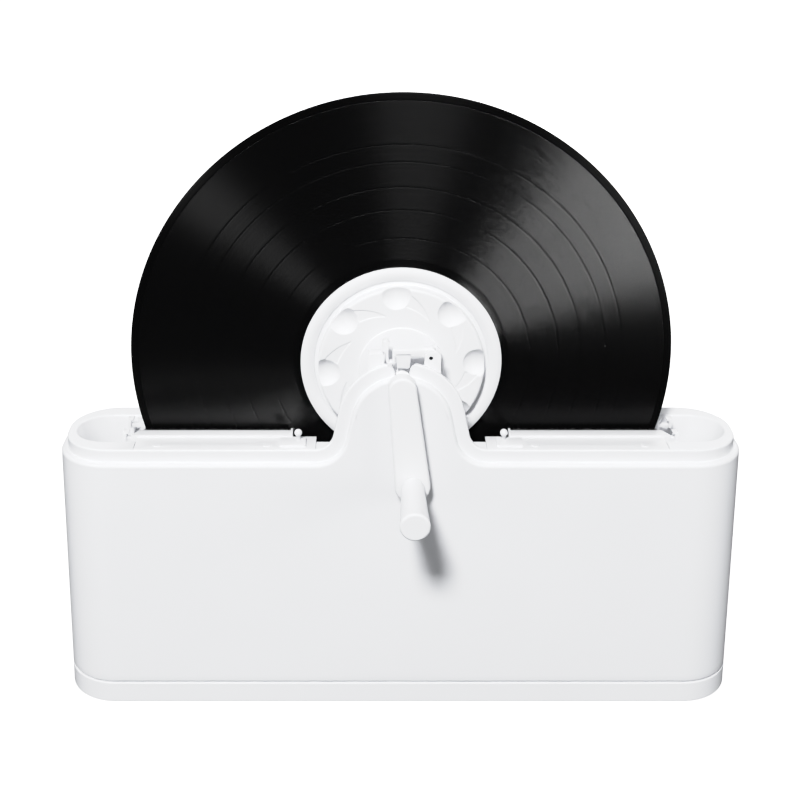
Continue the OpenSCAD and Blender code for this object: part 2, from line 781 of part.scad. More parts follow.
// Flat arm, wider at the knob, with rounded front edges
module crank_arm() {
  edge = 1.2;
  color("white") at_crank() difference() {
    hull() for (a = [0:30:90]) {
      h = arm_t - edge * (1 - sin(a));
      inset = edge * (1 - cos(a));
      translate([0, 0, arm_back]) cylinder(r = arm_top_r - inset, h = h);
      translate([0, -crank_throw, arm_back]) cylinder(r = arm_end_r - inset, h = h);
    }
    rotate(-crank_lean) translate([0, 0, arm_back - eps])
      linear_extrude(drive_end - arm_back + eps + 0.2)
        square(drive_w + 0.1, center = true);
    translate([0, -crank_throw, arm_back - eps]) cylinder(r = stud_r + 0.02, h = arm_t + 2 * eps);
    translate([0, -crank_throw, arm_back - eps]) cylinder(r = stud_r * 2, h = 1.6 + eps);
  }
}

// Headed stud, pressed into the arm from behind, that the knob turns on
knob_base = arm_front + knob_gap;
stud_end = knob_base + knob_l * 0.72;
module knob_stud() {
  color("silver") at_crank() translate([0, -crank_throw, 0]) {
    translate([0, 0, arm_back + 0.2]) cylinder(r = stud_r * 2 - 0.1, h = 1.4);
    translate([0, 0, arm_back + 0.2]) cylinder(r = stud_r, h = stud_end - arm_back - 0.2);
  }
}

// Round handle, flared towards its free end, with a blind bore for the stud
module crank_knob() {
  edge = 1.4;
  color("white") at_crank() translate([0, -crank_throw, 0]) rotate_extrude($fn = 72) polygon(concat(
    [[stud_r + run_gap, knob_base], [knob_r - 0.5, knob_base], [knob_r, knob_base + 0.5]],
    arc(knob_end_r - edge, knob_base + knob_l - edge, edge, 0, 90, 6),
    [[0, knob_base + knob_l], [0, stud_end + 0.4], [stud_r + run_gap, stud_end + 0.4]]
  ));
}

/* Brushes: everything is drawn for the front right, and mirrored for the other three */

// The holder's layers, as distances in front of the record
tip_y = face + tip_gap;
backing_front = tip_y + bristle_l;
bar_back = backing_front + backing_t;
bar_front = bar_back + bar_w;
flange_top = rim_z - flange_sunk;
bar_top = rim_z + bar_up;
bar_h = 7;
board_in = bar_in + 2;
board_out = bar_out - 2;
block_top = rim_z + 1.2;
pin_x = bar_in - 4.7;
pin_y = bar_front + 5.2;
pin_socket = 1.8;

// A box between two corners, with y counted forward from the record
module slab(x0, x1, y0, y1, z0, z1) {
  translate([x0, -y1, z0]) cube([x1 - x0, y1 - y0, z1 - z0]);
}

// One brush holder: flange on the deck, bar, hanging board with ribs, pin block and end tab
module holder() {
  tab_x = bar_out + bar_slant + 2.7;
  tab_y = bar_front - 3.4;
  board_top = bar_top - bar_h + 1;
  rib_pitch = (board_out - board_in - 2 * rib_in - rib_t) / 3;
  block_x = pin_x - 4.3;
  block_w = 14.5;
  difference() {
    union() {
      slab(bar_in - flange_in, bar_out, bar_front - 1, flange_front, flange_top - flange_t, flange_top);
      translate([0, 0, bar_top - bar_h]) linear_extrude(bar_h) polygon([
        [bar_in, -bar_back], [bar_out, -bar_back],
        [bar_out + bar_slant, -bar_front], [bar_in, -bar_front]
      ]);
      slab(bar_in - 1.2, bar_in, bar_back, bar_front, bar_top - bar_h, bar_top + 1.2);
      slab(block_x, block_x + block_w, pin_y - 2, pin_y + 7.8, flange_top - 0.5, block_top);
      slab(board_in, board_out, bar_back, bar_back + board_t, rim_z - board_h, board_top);
      for (i = [0:3]) let (x = board_in + rib_in + i * rib_pitch)
        slab(x, x + rib_t, bar_back + board_t - 0.5, bar_front - 2, rim_z - board_h + 6, board_top);
      for (x = [bar_in + mark_in, bar_out - mark_in])
        translate([x, -flange_front + 2 * mark_r, flange_top - 0.5]) cylinder(r = mark_r, h = 1);
      slab(bar_out - 1, tab_x + 2, tab_y - 1.5, tab_y + 1.5, rim_z - 3.2, rim_z - 1.2);
      slab(tab_x, tab_x + 1.8, tab_y - 2.4, tab_y + 2.4, rim_z - 3.2, rim_z + 2.2);
      slab(tab_x - 1.4, tab_x + 1.8, tab_y - 2.4, tab_y + 2.4, rim_z + 1.2, rim_z + 2.2);
    }
    translate([pin_x, -pin_y, block_top - pin_socket]) cylinder(r = ball_neck_r, h = pin_socket + eps);
  }
}

// Bristle strip: rows of tufts on the slice of backing that carries them
module bristles() {
  low = rim_z - board_h + 2;
  high = bar_top - 0.4;
  pitch_x = (board_out - board_in - 3) / (tuft_columns - 1);
  pitch_z = (high - low - 1.6) / (tuft_rows - 1);
  slab(board_in, board_out, backing_front, bar_back, low, high);
  for (i = [0:tuft_columns - 1], j = [0:tuft_rows - 1])
    translate([board_in + 1.5 + i * pitch_x, -tip_y, low + 0.8 + j * pitch_z])
      rotate([90, 0, 0]) cylinder(r = bristle_r, h = bristle_l + backing_t / 2, $fn = 3);
}

// Ball-headed pin that lifts a holder out
module lift_pin() {
  ball_z = rim_z + ball_up - ball_r;
  translate([pin_x, -pin_y, 0]) {
    translate([0, 0, block_top - pin_socket]) cylinder(r = ball_neck_r, h = ball_z - block_top + pin_socket);
    translate([0, 0, ball_z]) sphere(r = ball_r);
  }
}

// The same piece at one of the four places: rear = 1 puts it behind, left = 1 to the left
module brush_place(rear, left) {
  mirror([left, 0, 0]) mirror([0, rear, 0]) children();
}

module front_left_holder() {
  color("white") brush_place(0, 1) holder();
}

module front_right_holder() {
  color("white") brush_place(0, 0) holder();
}

module rear_left_holder() {
  color("white") brush_place(1, 1) holder();
}

module rear_right_holder() {
  color("white") brush_place(1, 0) holder();
}

module front_left_bristles() {
  color("black") brush_place(0, 1) bristles();
}

module front_right_bristles() {
  color("black") brush_place(0, 0) bristles();
}

module rear_left_bristles() {
  color("black") brush_place(1, 1) bristles();
}

module rear_right_bristles() {
  color("black") brush_place(1, 0) bristles();
}

module front_left_lift_pin() {
  color("white") brush_place(0, 1) lift_pin();
}

module front_right_lift_pin() {
  color("white") brush_place(0, 0) lift_pin();
}

module rear_left_lift_pin() {
  color("white") brush_place(1, 1) lift_pin();
}

module rear_right_lift_pin() {
  color("white") brush_place(1, 0) lift_pin();
}

basin_tub();
base_plate();
base_screws();
front_latch_bracket();
rear_latch_bracket();
front_latch_pin();
rear_latch_pin();
front_latch();
rear_latch();
front_bush();
rear_bush();
spindle();
rear_clamp();
rear_seal();
vinyl_record();
front_seal();
front_clamp();
drive_neck();
crank_arm();
knob_stud();
crank_knob();
front_left_holder();
front_right_holder();
rear_left_holder();
rear_right_holder();
front_left_bristles();
front_right_bristles();
rear_left_bristles();
rear_right_bristles();
front_left_lift_pin();
front_right_lift_pin();
rear_left_lift_pin();
rear_right_lift_pin();
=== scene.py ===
import json
from math import asin, atan2, cos, degrees, hypot, pi, radians, sin, sqrt

import bmesh
import bpy
import numpy as np
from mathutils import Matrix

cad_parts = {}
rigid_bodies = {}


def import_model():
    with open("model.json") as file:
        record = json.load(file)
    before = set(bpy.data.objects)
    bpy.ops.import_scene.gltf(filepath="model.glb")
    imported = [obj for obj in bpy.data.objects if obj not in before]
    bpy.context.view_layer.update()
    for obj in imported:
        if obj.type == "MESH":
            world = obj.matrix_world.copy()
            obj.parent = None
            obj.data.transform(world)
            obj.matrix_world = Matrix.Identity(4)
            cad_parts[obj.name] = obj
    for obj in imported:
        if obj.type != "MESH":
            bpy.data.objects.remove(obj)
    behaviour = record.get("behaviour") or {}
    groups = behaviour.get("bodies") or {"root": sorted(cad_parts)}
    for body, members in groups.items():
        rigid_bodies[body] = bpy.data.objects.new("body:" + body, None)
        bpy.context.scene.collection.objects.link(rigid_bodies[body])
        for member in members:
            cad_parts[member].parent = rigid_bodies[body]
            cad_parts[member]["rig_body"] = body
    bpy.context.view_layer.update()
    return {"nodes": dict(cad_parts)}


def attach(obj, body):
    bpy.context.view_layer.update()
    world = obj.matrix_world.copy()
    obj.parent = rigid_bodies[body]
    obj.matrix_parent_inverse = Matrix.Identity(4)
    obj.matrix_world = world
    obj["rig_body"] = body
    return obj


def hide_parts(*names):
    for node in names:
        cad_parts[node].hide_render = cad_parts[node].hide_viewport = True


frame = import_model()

# ---- Studio -------------------------------------------------------------------------------
# A pale table, a bright even room, one key light high in front and to the left, and soft
# boxes at the sides whose reflections lie in the record's grooves.
scene = bpy.context.scene
scene.view_settings.view_transform = "Standard"
scene.view_settings.use_curve_mapping = True
WHITE_LEVEL = 1.6
SHOULDER = ((0.3, 0.3), (0.6, 0.6), (0.8, 0.75), (1.0, 0.83), (1.25, 0.90))
tone = scene.view_settings.curve_mapping
tone.white_level = (WHITE_LEVEL, WHITE_LEVEL, WHITE_LEVEL)
all_channels = tone.curves[3]
for light_in, light_out in SHOULDER:
    all_channels.points.new(light_in / WHITE_LEVEL, light_out)
tone.update()

CAMERA = dict(place=(-0.0178, -0.7294, 0.4943), pitch=0.389, lens=63.2, sensor=36.0, shift=(0.0386, -0.0341))
camera = bpy.data.objects.new("studio_camera", bpy.data.cameras.new("studio_camera"))
camera.data.lens = CAMERA["lens"]
camera.data.sensor_width = CAMERA["sensor"]
camera.data.shift_x, camera.data.shift_y = CAMERA["shift"]
camera.data.clip_start = 0.02
camera.location = CAMERA["place"]
camera.rotation_euler = (pi / 2 - CAMERA["pitch"], 0.0, 0.0)
scene.collection.objects.link(camera)
scene.camera = camera


class Shader:
    """A material's node tree, built node by node and wired by socket name."""

    def __init__(self, name):
        self.material = bpy.data.materials.new(name)
        self.material.use_nodes = True
        self.tree = self.material.node_tree
        self.surface = self.tree.nodes["Principled BSDF"]
        self.object_coords = self.node("ShaderNodeTexCoord").outputs["Object"]

    def node(self, kind, values=None, **settings):
        made = self.tree.nodes.new(kind)
        for key, value in settings.items():
            setattr(made, key, value)
        for key, value in (values or {}).items():
            if isinstance(value, bpy.types.NodeSocket):
                self.tree.links.new(value, made.inputs[key])
            else:
                made.inputs[key].default_value = value
        return made

    def math(self, operation, a, b=0.0):
        return self.node("ShaderNodeMath", {0: a, 1: b}, operation=operation).outputs[0]

    def vector(self, operation, *values, output="Vector"):
        return self.node("ShaderNodeVectorMath", dict(enumerate(values)), operation=operation).outputs[output]

    def xyz(self, **parts):
        return self.node("ShaderNodeCombineXYZ", parts).outputs["Vector"]

    def noise(self, scale, detail=3.0, roughness=0.5, coords=None):
        return self.node("ShaderNodeTexNoise", {"Vector": coords or self.object_coords, "Scale": scale,
                                                "Detail": detail, "Roughness": roughness}).outputs["Fac"]

    def spread(self, value, low, high, start=0.3, end=0.7):
        return self.node("ShaderNodeMapRange", {"Value": value, "From Min": start, "From Max": end,
                                                "To Min": low, "To Max": high}).outputs["Result"]

    def blend(self, factor, a, b):
        mix = self.node("ShaderNodeMix", {"Factor": factor}, data_type="RGBA")
        for socket, value in ((mix.inputs[6], a), (mix.inputs[7], b)):
            if isinstance(value, bpy.types.NodeSocket):
                self.tree.links.new(value, socket)
            else:
                socket.default_value = (*value, 1.0)
        return mix.outputs[2]

    def bump(self, height, strength, distance, normal=None):
        values = {"Height": height, "Strength": strength, "Distance": distance}
        if normal is not None:
            values["Normal"] = normal
        return self.node("ShaderNodeBump", values).outputs["Normal"]

    def finish(self, **inputs):
        for key, value in inputs.items():
            socket = self.surface.inputs[key.replace("_", " ")]
            if isinstance(value, bpy.types.NodeSocket):
                self.tree.links.new(value, socket)
            else:
                socket.default_value = value
        return self.material


table_top = bpy.data.meshes.new("table_top")
table_top.from_pydata([(-6, -6, 0), (6, -6, 0), (6, 6, 0), (-6, 6, 0)], [], [(0, 1, 2, 3)])
table = bpy.data.objects.new("table", table_top)
scene.collection.objects.link(table)
# It glows evenly, and a little less close to the base, which makes a soft contact shadow.
TABLE_GLOW = dict(near_base=1.05, open=1.62, reach=0.03)
table_paint = Shader("table_paint")
openness = table_paint.node("ShaderNodeAmbientOcclusion", {"Distance": TABLE_GLOW["reach"]}).outputs["AO"]
table_paint.finish(
    Base_Color=table_paint.blend(table_paint.noise(3.0), (0.46, 0.46, 0.465), (0.5, 0.5, 0.505)),
    Roughness=0.6, Emission_Color=(1.0, 1.0, 1.0, 1.0),
    Emission_Strength=table_paint.spread(openness, TABLE_GLOW["near_base"], TABLE_GLOW["open"]))
table_top.materials.append(table_paint.material)
table.visible_diffuse = table.visible_glossy = table.visible_shadow = False

# The room is bright to the camera, dim as a light, and dimmer still in reflections.
PALE_BLUE, PURE_WHITE = (0.93, 0.96, 1.0, 1.0), (1.0, 1.0, 1.0, 1.0)
room = bpy.data.worlds.new("room")
scene.world = room
room.use_nodes = True
room_nodes, room_links = room.node_tree.nodes, room.node_tree.links
room_light = room_nodes["Background"]
room_seen = room_nodes.new("ShaderNodeBackground")
room_mirrored = room_nodes.new("ShaderNodeBackground")
ROOM = ((room_seen, PURE_WHITE, 1.75), (room_light, PALE_BLUE, 0.13), (room_mirrored, PALE_BLUE, 0.04))
for glow, color, strength in ROOM:
    glow.inputs["Color"].default_value = color
    glow.inputs["Strength"].default_value = strength
room_rays = room_nodes.new("ShaderNodeLightPath")
room_switch = room_nodes.new("ShaderNodeMixShader")
room_gloss = room_nodes.new("ShaderNodeMixShader")
room_links.new(room_rays.outputs["Is Glossy Ray"], room_gloss.inputs["Fac"])
room_links.new(room_light.outputs["Background"], room_gloss.inputs[1])
room_links.new(room_mirrored.outputs["Background"], room_gloss.inputs[2])
room_links.new(room_rays.outputs["Is Camera Ray"], room_switch.inputs["Fac"])
room_links.new(room_gloss.outputs["Shader"], room_switch.inputs[1])
room_links.new(room_seen.outputs["Background"], room_switch.inputs[2])
room_links.new(room_switch.outputs["Shader"], room_nodes["World Output"].inputs["Surface"])


def soft_box(name, direction, distance, size, power, diffuse=True, glossy=True, only=None):
    """An area light that looks at the record from a direction, and may light one piece alone."""
    lamp = bpy.data.objects.new(name, bpy.data.lights.new(name, "AREA"))
    lamp.data.shape = "RECTANGLE"
    lamp.data.size, lamp.data.size_y = size
    lamp.data.energy = power
    away = np.array(direction) / np.linalg.norm(direction)
    lamp.location = away * distance + (0.0, 0.0, 0.15)
    toward = -away
    tilt, turn = atan2(hypot(*toward[:2]), -toward[2]), atan2(toward[0], -toward[1]) + pi
    lamp.rotation_euler = (tilt, 0.0, turn)
    lamp.visible_camera = False
    lamp.visible_diffuse, lamp.visible_glossy = diffuse, glossy
    if only is not None:
        lamp.light_linking.receiver_collection = only
    scene.collection.objects.link(lamp)


# All gleams but the key's light the record alone. Three of them make its bright sector, upper right.
KEY = (-0.175, -0.655, 0.69)
BRIGHT_SECTOR = (((0.558, -0.824, -0.098), 41.0), ((0.496, -0.868, 0.0), 37.0), ((0.417, -0.905, 0.083), 32.0))
record_only = bpy.data.collections.new("record_only")
soft_box("key_box", KEY, 2.6, (0.4, 0.4), 104.0, glossy=False)
soft_box("key_gleam", KEY, 2.6, (0.4, 0.4), 3.0, diffuse=False)
soft_box("right_fill", (0.90, -0.42, 0.20), 2.2, (1.0, 1.0), 15.0, glossy=False)
soft_box("left_fill", (-0.95, -0.30, 0.25), 2.2, (1.0, 1.0), 9.0, glossy=False)
soft_box("top_gleam", (0.10, -0.60, 0.80), 2.2, (0.8, 0.8), 110.0, diffuse=False, only=record_only)
for direction, power in BRIGHT_SECTOR:
    soft_box("right_gleam", direction, 2.0, (0.30, 0.30), power, diffuse=False, only=record_only)
soft_box("rear_fill", (0.25, 0.90, 0.35), 2.4, (1.0, 1.0), 60.0, glossy=False)
soft_box("rear_gleam", (-0.60, 0.75, 0.45), 2.0, (0.6, 0.6), 40.0, diffuse=False, only=record_only)
soft_box("left_gleam", (-0.90, -0.45, 0.45), 2.2, (0.5, 0.5), 145.0, diffuse=False, only=record_only)
soft_box("low_gleam", (-0.80, -0.50, -0.55), 2.2, (0.6, 0.6), 12.0, diffuse=False, only=record_only)

# ---- Basin tub ----------------------------------------------------------------------------
# The outer body is one moulding in white gloss plastic: leaning walls, a rounded ledge, a
# raised rim, two bell-shaped humps with a slot for the shaft, the deck and the trough.
MM = 0.001
LEDGE = dict(length=385.0, width=67.0, corner=30.0, z=154.0, round=2.0)
LEAN = dict(end=4.5, side=2.0)
RIM = dict(step=3.8, height=7.4, round=1.0)
BELL = dict(radius=27.5, z=178.0, lean=radians(12.0), foot=18.0, wall=3.2)
SLOT = dict(width=8.0, shoulder=5.0, axle_z=202.0)
TROUGH = ((368.0, 36.0, 0.0), (306.0, 31.0, 80.0), (200.0, 27.0, 116.2))
BASE = dict(height=13.5, seam=0.6)
WALL = 3.0
rim_z = LEDGE["z"] + RIM["height"]


def white_plastic(name, color, rough, grain=0.05, mottle=0.012):
    """Moulded white plastic: faint flow marks, a fine grain and a gloss that varies a little."""
    shade = Shader(name)
    darker = tuple(c * (1.0 - 2.0 * mottle) for c in color)
    tone = shade.blend(shade.spread(shade.noise(14.0, 4.0), 0.0, 1.0), color, darker)
    gloss = shade.spread(shade.noise(60.0, 5.0, 0.6), rough - 0.01, rough + 0.05)
    fine = shade.bump(shade.noise(1600.0, 2.0), grain, 0.00004)
    return shade.finish(Base_Color=tone, Roughness=gloss, Normal=fine, IOR=1.49, Coat_Weight=0.15,
                        Coat_Roughness=0.18)


SMOOTH_BELOW = radians(32.0)


def solid(name, points, faces, material, slot_name, body, replaces=()):
    """Points in millimetres and faces become a closed, smooth-shaded piece on its body."""
    shape = bmesh.new()
    corners = [shape.verts.new(np.array(p) * MM) for p in points]
    for face in faces:
        if len(set(face)) > 2:
            try:
                shape.faces.new([corners[i] for i in face])
            except ValueError:
                pass
    bmesh.ops.remove_doubles(shape, verts=shape.verts, dist=2e-6)
    bmesh.ops.dissolve_degenerate(shape, edges=shape.edges, dist=1e-6)
    bmesh.ops.recalc_face_normals(shape, faces=shape.faces)
    mesh = bpy.data.meshes.new(name)
    shape.to_mesh(mesh)
    shape.free()
    return dressed(name, mesh, material, body, replaces)


def dressed(name, mesh, material, body, replaces=()):
    """A finished mesh gets its object, smooth shading, material and body."""
    mesh.name = name
    if material is not None:
        mesh.materials.clear()
        mesh.materials.append(material)
    mesh.shade_smooth()
    mesh.set_sharp_from_angle(angle=SMOOTH_BELOW)
    piece = bpy.data.objects.new(name, mesh)
    scene.collection.objects.link(piece)
    if replaces:
        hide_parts(*replaces)
    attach(piece, body)
    return piece


def bands(width, count, loop=False):
    """Quads between closed rows of equal length; loop also joins the last row to the first."""
    faces = []
    for k in range(count if loop else count - 1):
        near, far = k * width, (k + 1) % count * width
        faces += [(near + i, near + (i + 1) % width, far + (i + 1) % width, far + i) for i in range(width)]
    return faces


def skin(rows):
    """Closed rows of equal length become a skin with a cap on its first and its last row."""
    width = len(rows[0])
    points = [p for row in rows for p in row]
    faces = bands(width, len(rows))
    faces.append(tuple(range(width)))
    faces.append(tuple((len(rows) - 1) * width + i for i in range(width)))
    return points, faces


def carve(piece, cutters):
    """Cuts other closed meshes out of a piece, and leaves it a plain mesh."""
    for cutter in cutters:
        cut = piece.modifiers.new("cut", "BOOLEAN")
        cut.operation = "DIFFERENCE"
        cut.solver = "EXACT"
        cut.object = cutter
    return baked(piece, remove=cutters)


def baked(piece, remove=()):
    """The piece's modifiers become its own mesh, and its helpers go."""
    bpy.context.view_layer.update()
    evaluated = piece.evaluated_get(bpy.context.evaluated_depsgraph_get())
    mesh = bpy.data.meshes.new_from_object(evaluated)
    for other in (*remove, piece):
        bpy.data.objects.remove(other)
    return mesh


def loose(name, points, faces):
    """A helper object that no piece keeps: a cutter, or a shape before its modifiers."""
    mesh = bpy.data.meshes.new(name)
    mesh.from_pydata([tuple(np.array(p) * MM) for p in points], [], faces)
    shape = bmesh.new()
    shape.from_mesh(mesh)
    bmesh.ops.remove_doubles(shape, verts=shape.verts, dist=2e-6)
    bmesh.ops.dissolve_degenerate(shape, edges=shape.edges, dist=1e-6)
    bmesh.ops.recalc_face_normals(shape, faces=shape.faces)
    shape.to_mesh(mesh)
    shape.free()
    helper = bpy.data.objects.new(name, mesh)
    scene.collection.objects.link(helper)
    return helper


def slab(x0, x1, y0, y1, z0, z1):
    """A box from corner to corner."""
    points = [(x, y, z) for x in (x0, x1) for y in (y0, y1) for z in (z0, z1)]
    return points, [(0, 1, 3, 2), (4, 6, 7, 5), (0, 4, 5, 1), (2, 3, 7, 6), (0, 2, 6, 4), (1, 5, 7, 3)]


def quarter(steps, start=0.0, end=90.0):
    return [radians(start + (end - start) * i / steps) for i in range(steps + 1)]


def ledge_columns():
    """Points round the ledge from the front's left end: place, way in, way up the face, and kind."""
    half_l, half_w = LEDGE["length"] / 2 - LEDGE["corner"], LEDGE["width"] / 2
    foot_z = LEDGE["z"] + BELL["foot"]
    reach = BELL["radius"] + BELL["foot"]
    foot_x = (reach - (foot_z - BELL["z"]) * sin(BELL["lean"])) / cos(BELL["lean"])
    right = []
    for a in quarter(14, 0.0, 90.0 - degrees(BELL["lean"])):
        right.append((foot_x - BELL["foot"] * sin(a), foot_z - BELL["foot"] * cos(a), sin(a), cos(a)))
    for a in quarter(18, degrees(BELL["lean"]), 90.0):
        right.append((BELL["radius"] * cos(a), BELL["z"] + BELL["radius"] * sin(a), cos(a), sin(a)))
    side = [(half_l + (foot_x + 1.0 - half_l) * i / 14, LEDGE["z"], 0.0, 1.0) for i in range(15)] + right
    front = [(-x, z, -nx, nz) for x, z, nx, nz in side] + side[:-1][::-1]
    columns = [((x, -half_w, z), (0.0, 1.0), (nx, 0.0, nz), "side") for x, z, nx, nz in front]
    corner = LEDGE["corner"]
    for sy, sweep in ((-1, quarter(20, -90.0, 0.0)), (1, quarter(20))):
        for a in sweep:
            columns.append(((half_l + corner * cos(a), sy * (half_w - corner) + corner * sin(a), LEDGE["z"]),
                            (-cos(a), -sin(a)), (0.0, 0.0, 1.0), "end"))
    back = [((-x, -y, z), (-mx, -my), (-nx, -ny, nz), kind)
            for (x, y, z), (mx, my), (nx, ny, nz), kind in columns]
    return columns + back


def leaning_row(columns, inset, level_of):
    """A row round the leaning walls, set in by inset, at the level that level_of finds for each column."""
    half_l, flat = LEDGE["length"] / 2 - LEDGE["corner"], LEDGE["width"] / 2 - LEDGE["corner"]
    row = []
    for (x, y, z), (mx, my), _, _ in columns:
        level = level_of(z)
        lean = max(0.0, (LEDGE["z"] - level) / LEDGE["z"])
        kx, ky = max(-1.0, min(1.0, x / half_l)), max(-1.0, min(1.0, y / flat))
        row.append((x + mx * inset + kx * LEAN["end"] * lean, y + my * inset + ky * LEAN["side"] * lean, level))
    return row


def tub_rows(columns):
    """The moulding's section, from under the trough, round the hollow, the walls, ledge, rim and deck."""
    half_l = LEDGE["length"] / 2 - LEDGE["corner"]

    def wall(inset, level_of):
        """Follows each column straight down the wall."""
        return leaning_row(columns, inset, level_of)

    def face(inward, up):
        """Leaves each column along the ledge's or the bell's own edge."""
        return [(x + mx * inward + nx * up, y + my * inward + ny * up, z + nz * up)
                for (x, y, z), (mx, my), (nx, ny, nz), _ in columns]

    def trough(grow, level, z):
        """A level of the trough, with its points turned to the ledge's columns."""
        length, width = level[0] + 2 * grow, level[1] + 2 * grow
        row, seen, count = [], 0, sum(kind == "end" for *_, kind in columns) // 2
        for (x, y, _), (mx, my), _, kind in columns:
            if kind == "side":
                row.append((x / half_l * (length - width) / 2, -my * width / 2, z))
                seen = 0
            else:
                a = radians(-90.0 + 180.0 * seen / (count - 1)) + (pi if x < 0 else 0.0)
                middle = (length - width) / 2 * (1 if x > 0 else -1)
                row.append((middle + width / 2 * cos(a), width / 2 * sin(a), z))
                seen += 1
        return row

    def between(level_a, level_b, t):
        return tuple(a + (b - a) * t for a, b in zip(level_a, level_b))

    mouth, waist, floor = TROUGH
    rows = [trough(WALL, floor, rim_z - floor[2] - WALL), trough(WALL, waist, rim_z - waist[2])]
    hidden = between(mouth, waist, 0.16)
    rows += [trough(WALL, hidden, rim_z - hidden[2]), wall(WALL, lambda z: LEDGE["z"] - 4.5)]
    rows += [wall(WALL, lambda z: BASE["height"]), wall(BASE["seam"], lambda z: BASE["height"])]
    edge = 0.5
    rows += [wall(BASE["seam"], lambda z: BASE["height"] + BASE["seam"] - 0.1)]
    rows += [wall(edge * (1 - sin(a)), lambda z, a=a: BASE["height"] + BASE["seam"] + edge * (1 - cos(a)))
             for a in quarter(4)]
    wall_foot = BASE["height"] + 1.1
    for share in (0.03, 0.25, 0.5, 0.75, 0.97):
        rows.append(wall(0.0, lambda z: wall_foot + share * (z - LEDGE["round"] - BASE["height"] - 1.1)))
    rows.append(face(0.0, -LEDGE["round"] - 0.4))
    rows += [face(LEDGE["round"] * (1 - cos(a)), -LEDGE["round"] * (1 - sin(a))) for a in quarter(6)]
    fillet = 0.6
    rows += [face(RIM["step"] - fillet * (1 - sin(a)), fillet * (1 - cos(a))) for a in quarter(4)]
    rows.append(face(RIM["step"], RIM["height"] - RIM["round"] - 0.3))
    rows += [face(RIM["step"] + RIM["round"] * (1 - cos(a)), RIM["height"] - RIM["round"] * (1 - sin(a)))
             for a in quarter(5)]

    def behind(steps):
        """The bell's inner edge and its back face, which vanish where there is no bell."""
        made = [[] for _ in range(2 * steps + 4)]
        for (x, y, z), (mx, my), (nx, _, nz), kind in columns:
            deep = RIM["step"] + BELL["wall"] if kind == "side" else 7.0 - 1.9 * abs(mx)
            high = z + nz * RIM["height"] - rim_z
            r = min(0.8, max(0.0, high) / 2)
            lx, lz = x + nx * RIM["height"], rim_z + max(high, 0.0)
            spots = [(deep - r + r * sin(a), -r * (1 - cos(a))) for a in quarter(steps)]
            for k, (inward, drop) in enumerate([(deep - r - 0.2 * (r > 0), 0.0), *spots]):
                made[k].append((lx + nx * drop + mx * inward, y + my * inward, lz + nz * drop))
            for k, a in enumerate(quarter(steps)):
                inward = deep + r * (1 - cos(a))
                made[steps + 2 + k].append((lx - nx * r + mx * inward, y + my * inward, rim_z + r * (1 - sin(a))))
            inward = deep + r + 0.2
            made[2 * steps + 3].append((lx - nx * r + mx * inward, y + my * inward, rim_z))
        return made

    rows += behind(4)
    lip = 1.2
    rows += [trough(lip + 0.3, mouth, rim_z)]
    rows += [trough(lip * (1 - sin(a)), mouth, rim_z - lip * (1 - cos(a))) for a in quarter(5)]
    for a, b in ((mouth, waist), (waist, floor)):
        rows += [trough(0.0, between(a, b, t), rim_z - between(a, b, t)[2]) for t in (0.05, 0.35, 0.65, 0.97)]
    rows.append(trough(-2.0, floor, rim_z - floor[2]))
    return rows


def slot_cutter(side):
    """The slot for the shaft's bush: round below, and rolled out at its mouth."""
    half, roll = SLOT["width"] / 2, SLOT["shoulder"]
    top = BELL["z"] + sqrt((BELL["radius"] + RIM["height"]) ** 2 - (half + roll) ** 2)
    outline = [(-half * cos(a), SLOT["axle_z"] - half * sin(a)) for a in quarter(16, 0.0, 180.0)]
    outline += [(half + roll - roll * cos(a), top - roll + roll * sin(a)) for a in quarter(8)]
    outline += [(half + roll, top + 20.0), (-half - roll, top + 20.0)]
    outline += [(-half - roll + roll * cos(a), top - roll + roll * sin(a)) for a in quarter(8)[::-1]]
    near, far = LEDGE["width"] / 2 - 8.0, LEDGE["width"] / 2 + 3.0
    rows = [[(x, side * y, z) for x, z in outline] for y in (near, far)]
    return loose("slot_cutter", *skin(rows))


tub_white = white_plastic("tub_white_plastic", (0.80, 0.808, 0.83), 0.30)
tub = loose("tub_blank", *skin(tub_rows(ledge_columns())))
seat = dict(x0=47.2, x1=148.3, y0=27.9, y1=9.0, z=rim_z - 1.7)  # where a brush holder's flange sits
cutters = [slot_cutter(-1), slot_cutter(1)]
for sx in (-1, 1):
    for sy in (-1, 1):
        xs = sorted((sx * seat["x0"], sx * seat["x1"]))
        ys = sorted((sy * seat["y0"], sy * seat["y1"]))
        cutters.append(loose("seat_cutter", *slab(*xs, *ys, seat["z"], rim_z + 2.0)))
dressed("tub_moulding", carve(tub, cutters), tub_white, "basin", replaces=["basin_tub"])

# ---- Base plate ---------------------------------------------------------------------------
# A shallow tray in the same plastic closes the body from below. Its top edge and the body's
# make the fine seam, and six recesses take the screws.
SCREWS = [(x, s * 28.7) for x in (-150.0, 0.0, 150.0) for s in (-1, 1)]
BOSS = dict(r=3.7, recess_r=3.2, recess_z=10.5, hole_r=1.7, room_r=3.85)
BELL_REACH = 47.0


def base_rows(columns):
    """The tray's outer rows, from its inner edge down to the table, and the rows of its hollow."""
    def ring(inset, z):
        return leaning_row(columns, inset, lambda _: z)

    top, edge = BASE["height"] - BASE["seam"], 0.6
    rows = [ring(WALL + 0.15, top + 4.6), ring(WALL + 0.15, top), ring(edge, top)]
    rows += [ring(edge * (1 - sin(a)), top - edge * (1 - cos(a))) for a in quarter(4)]
    rows += [ring(0.0, z) for z in (top - edge - 0.4, top / 2, edge + 0.4)]
    rows += [ring(edge * (1 - cos(a)), edge * (1 - sin(a))) for a in quarter(4)]
    rows.append(ring(edge + 0.4, 0.0))
    return rows, [ring(2 * WALL, WALL), ring(2 * WALL, top + 6.0)]


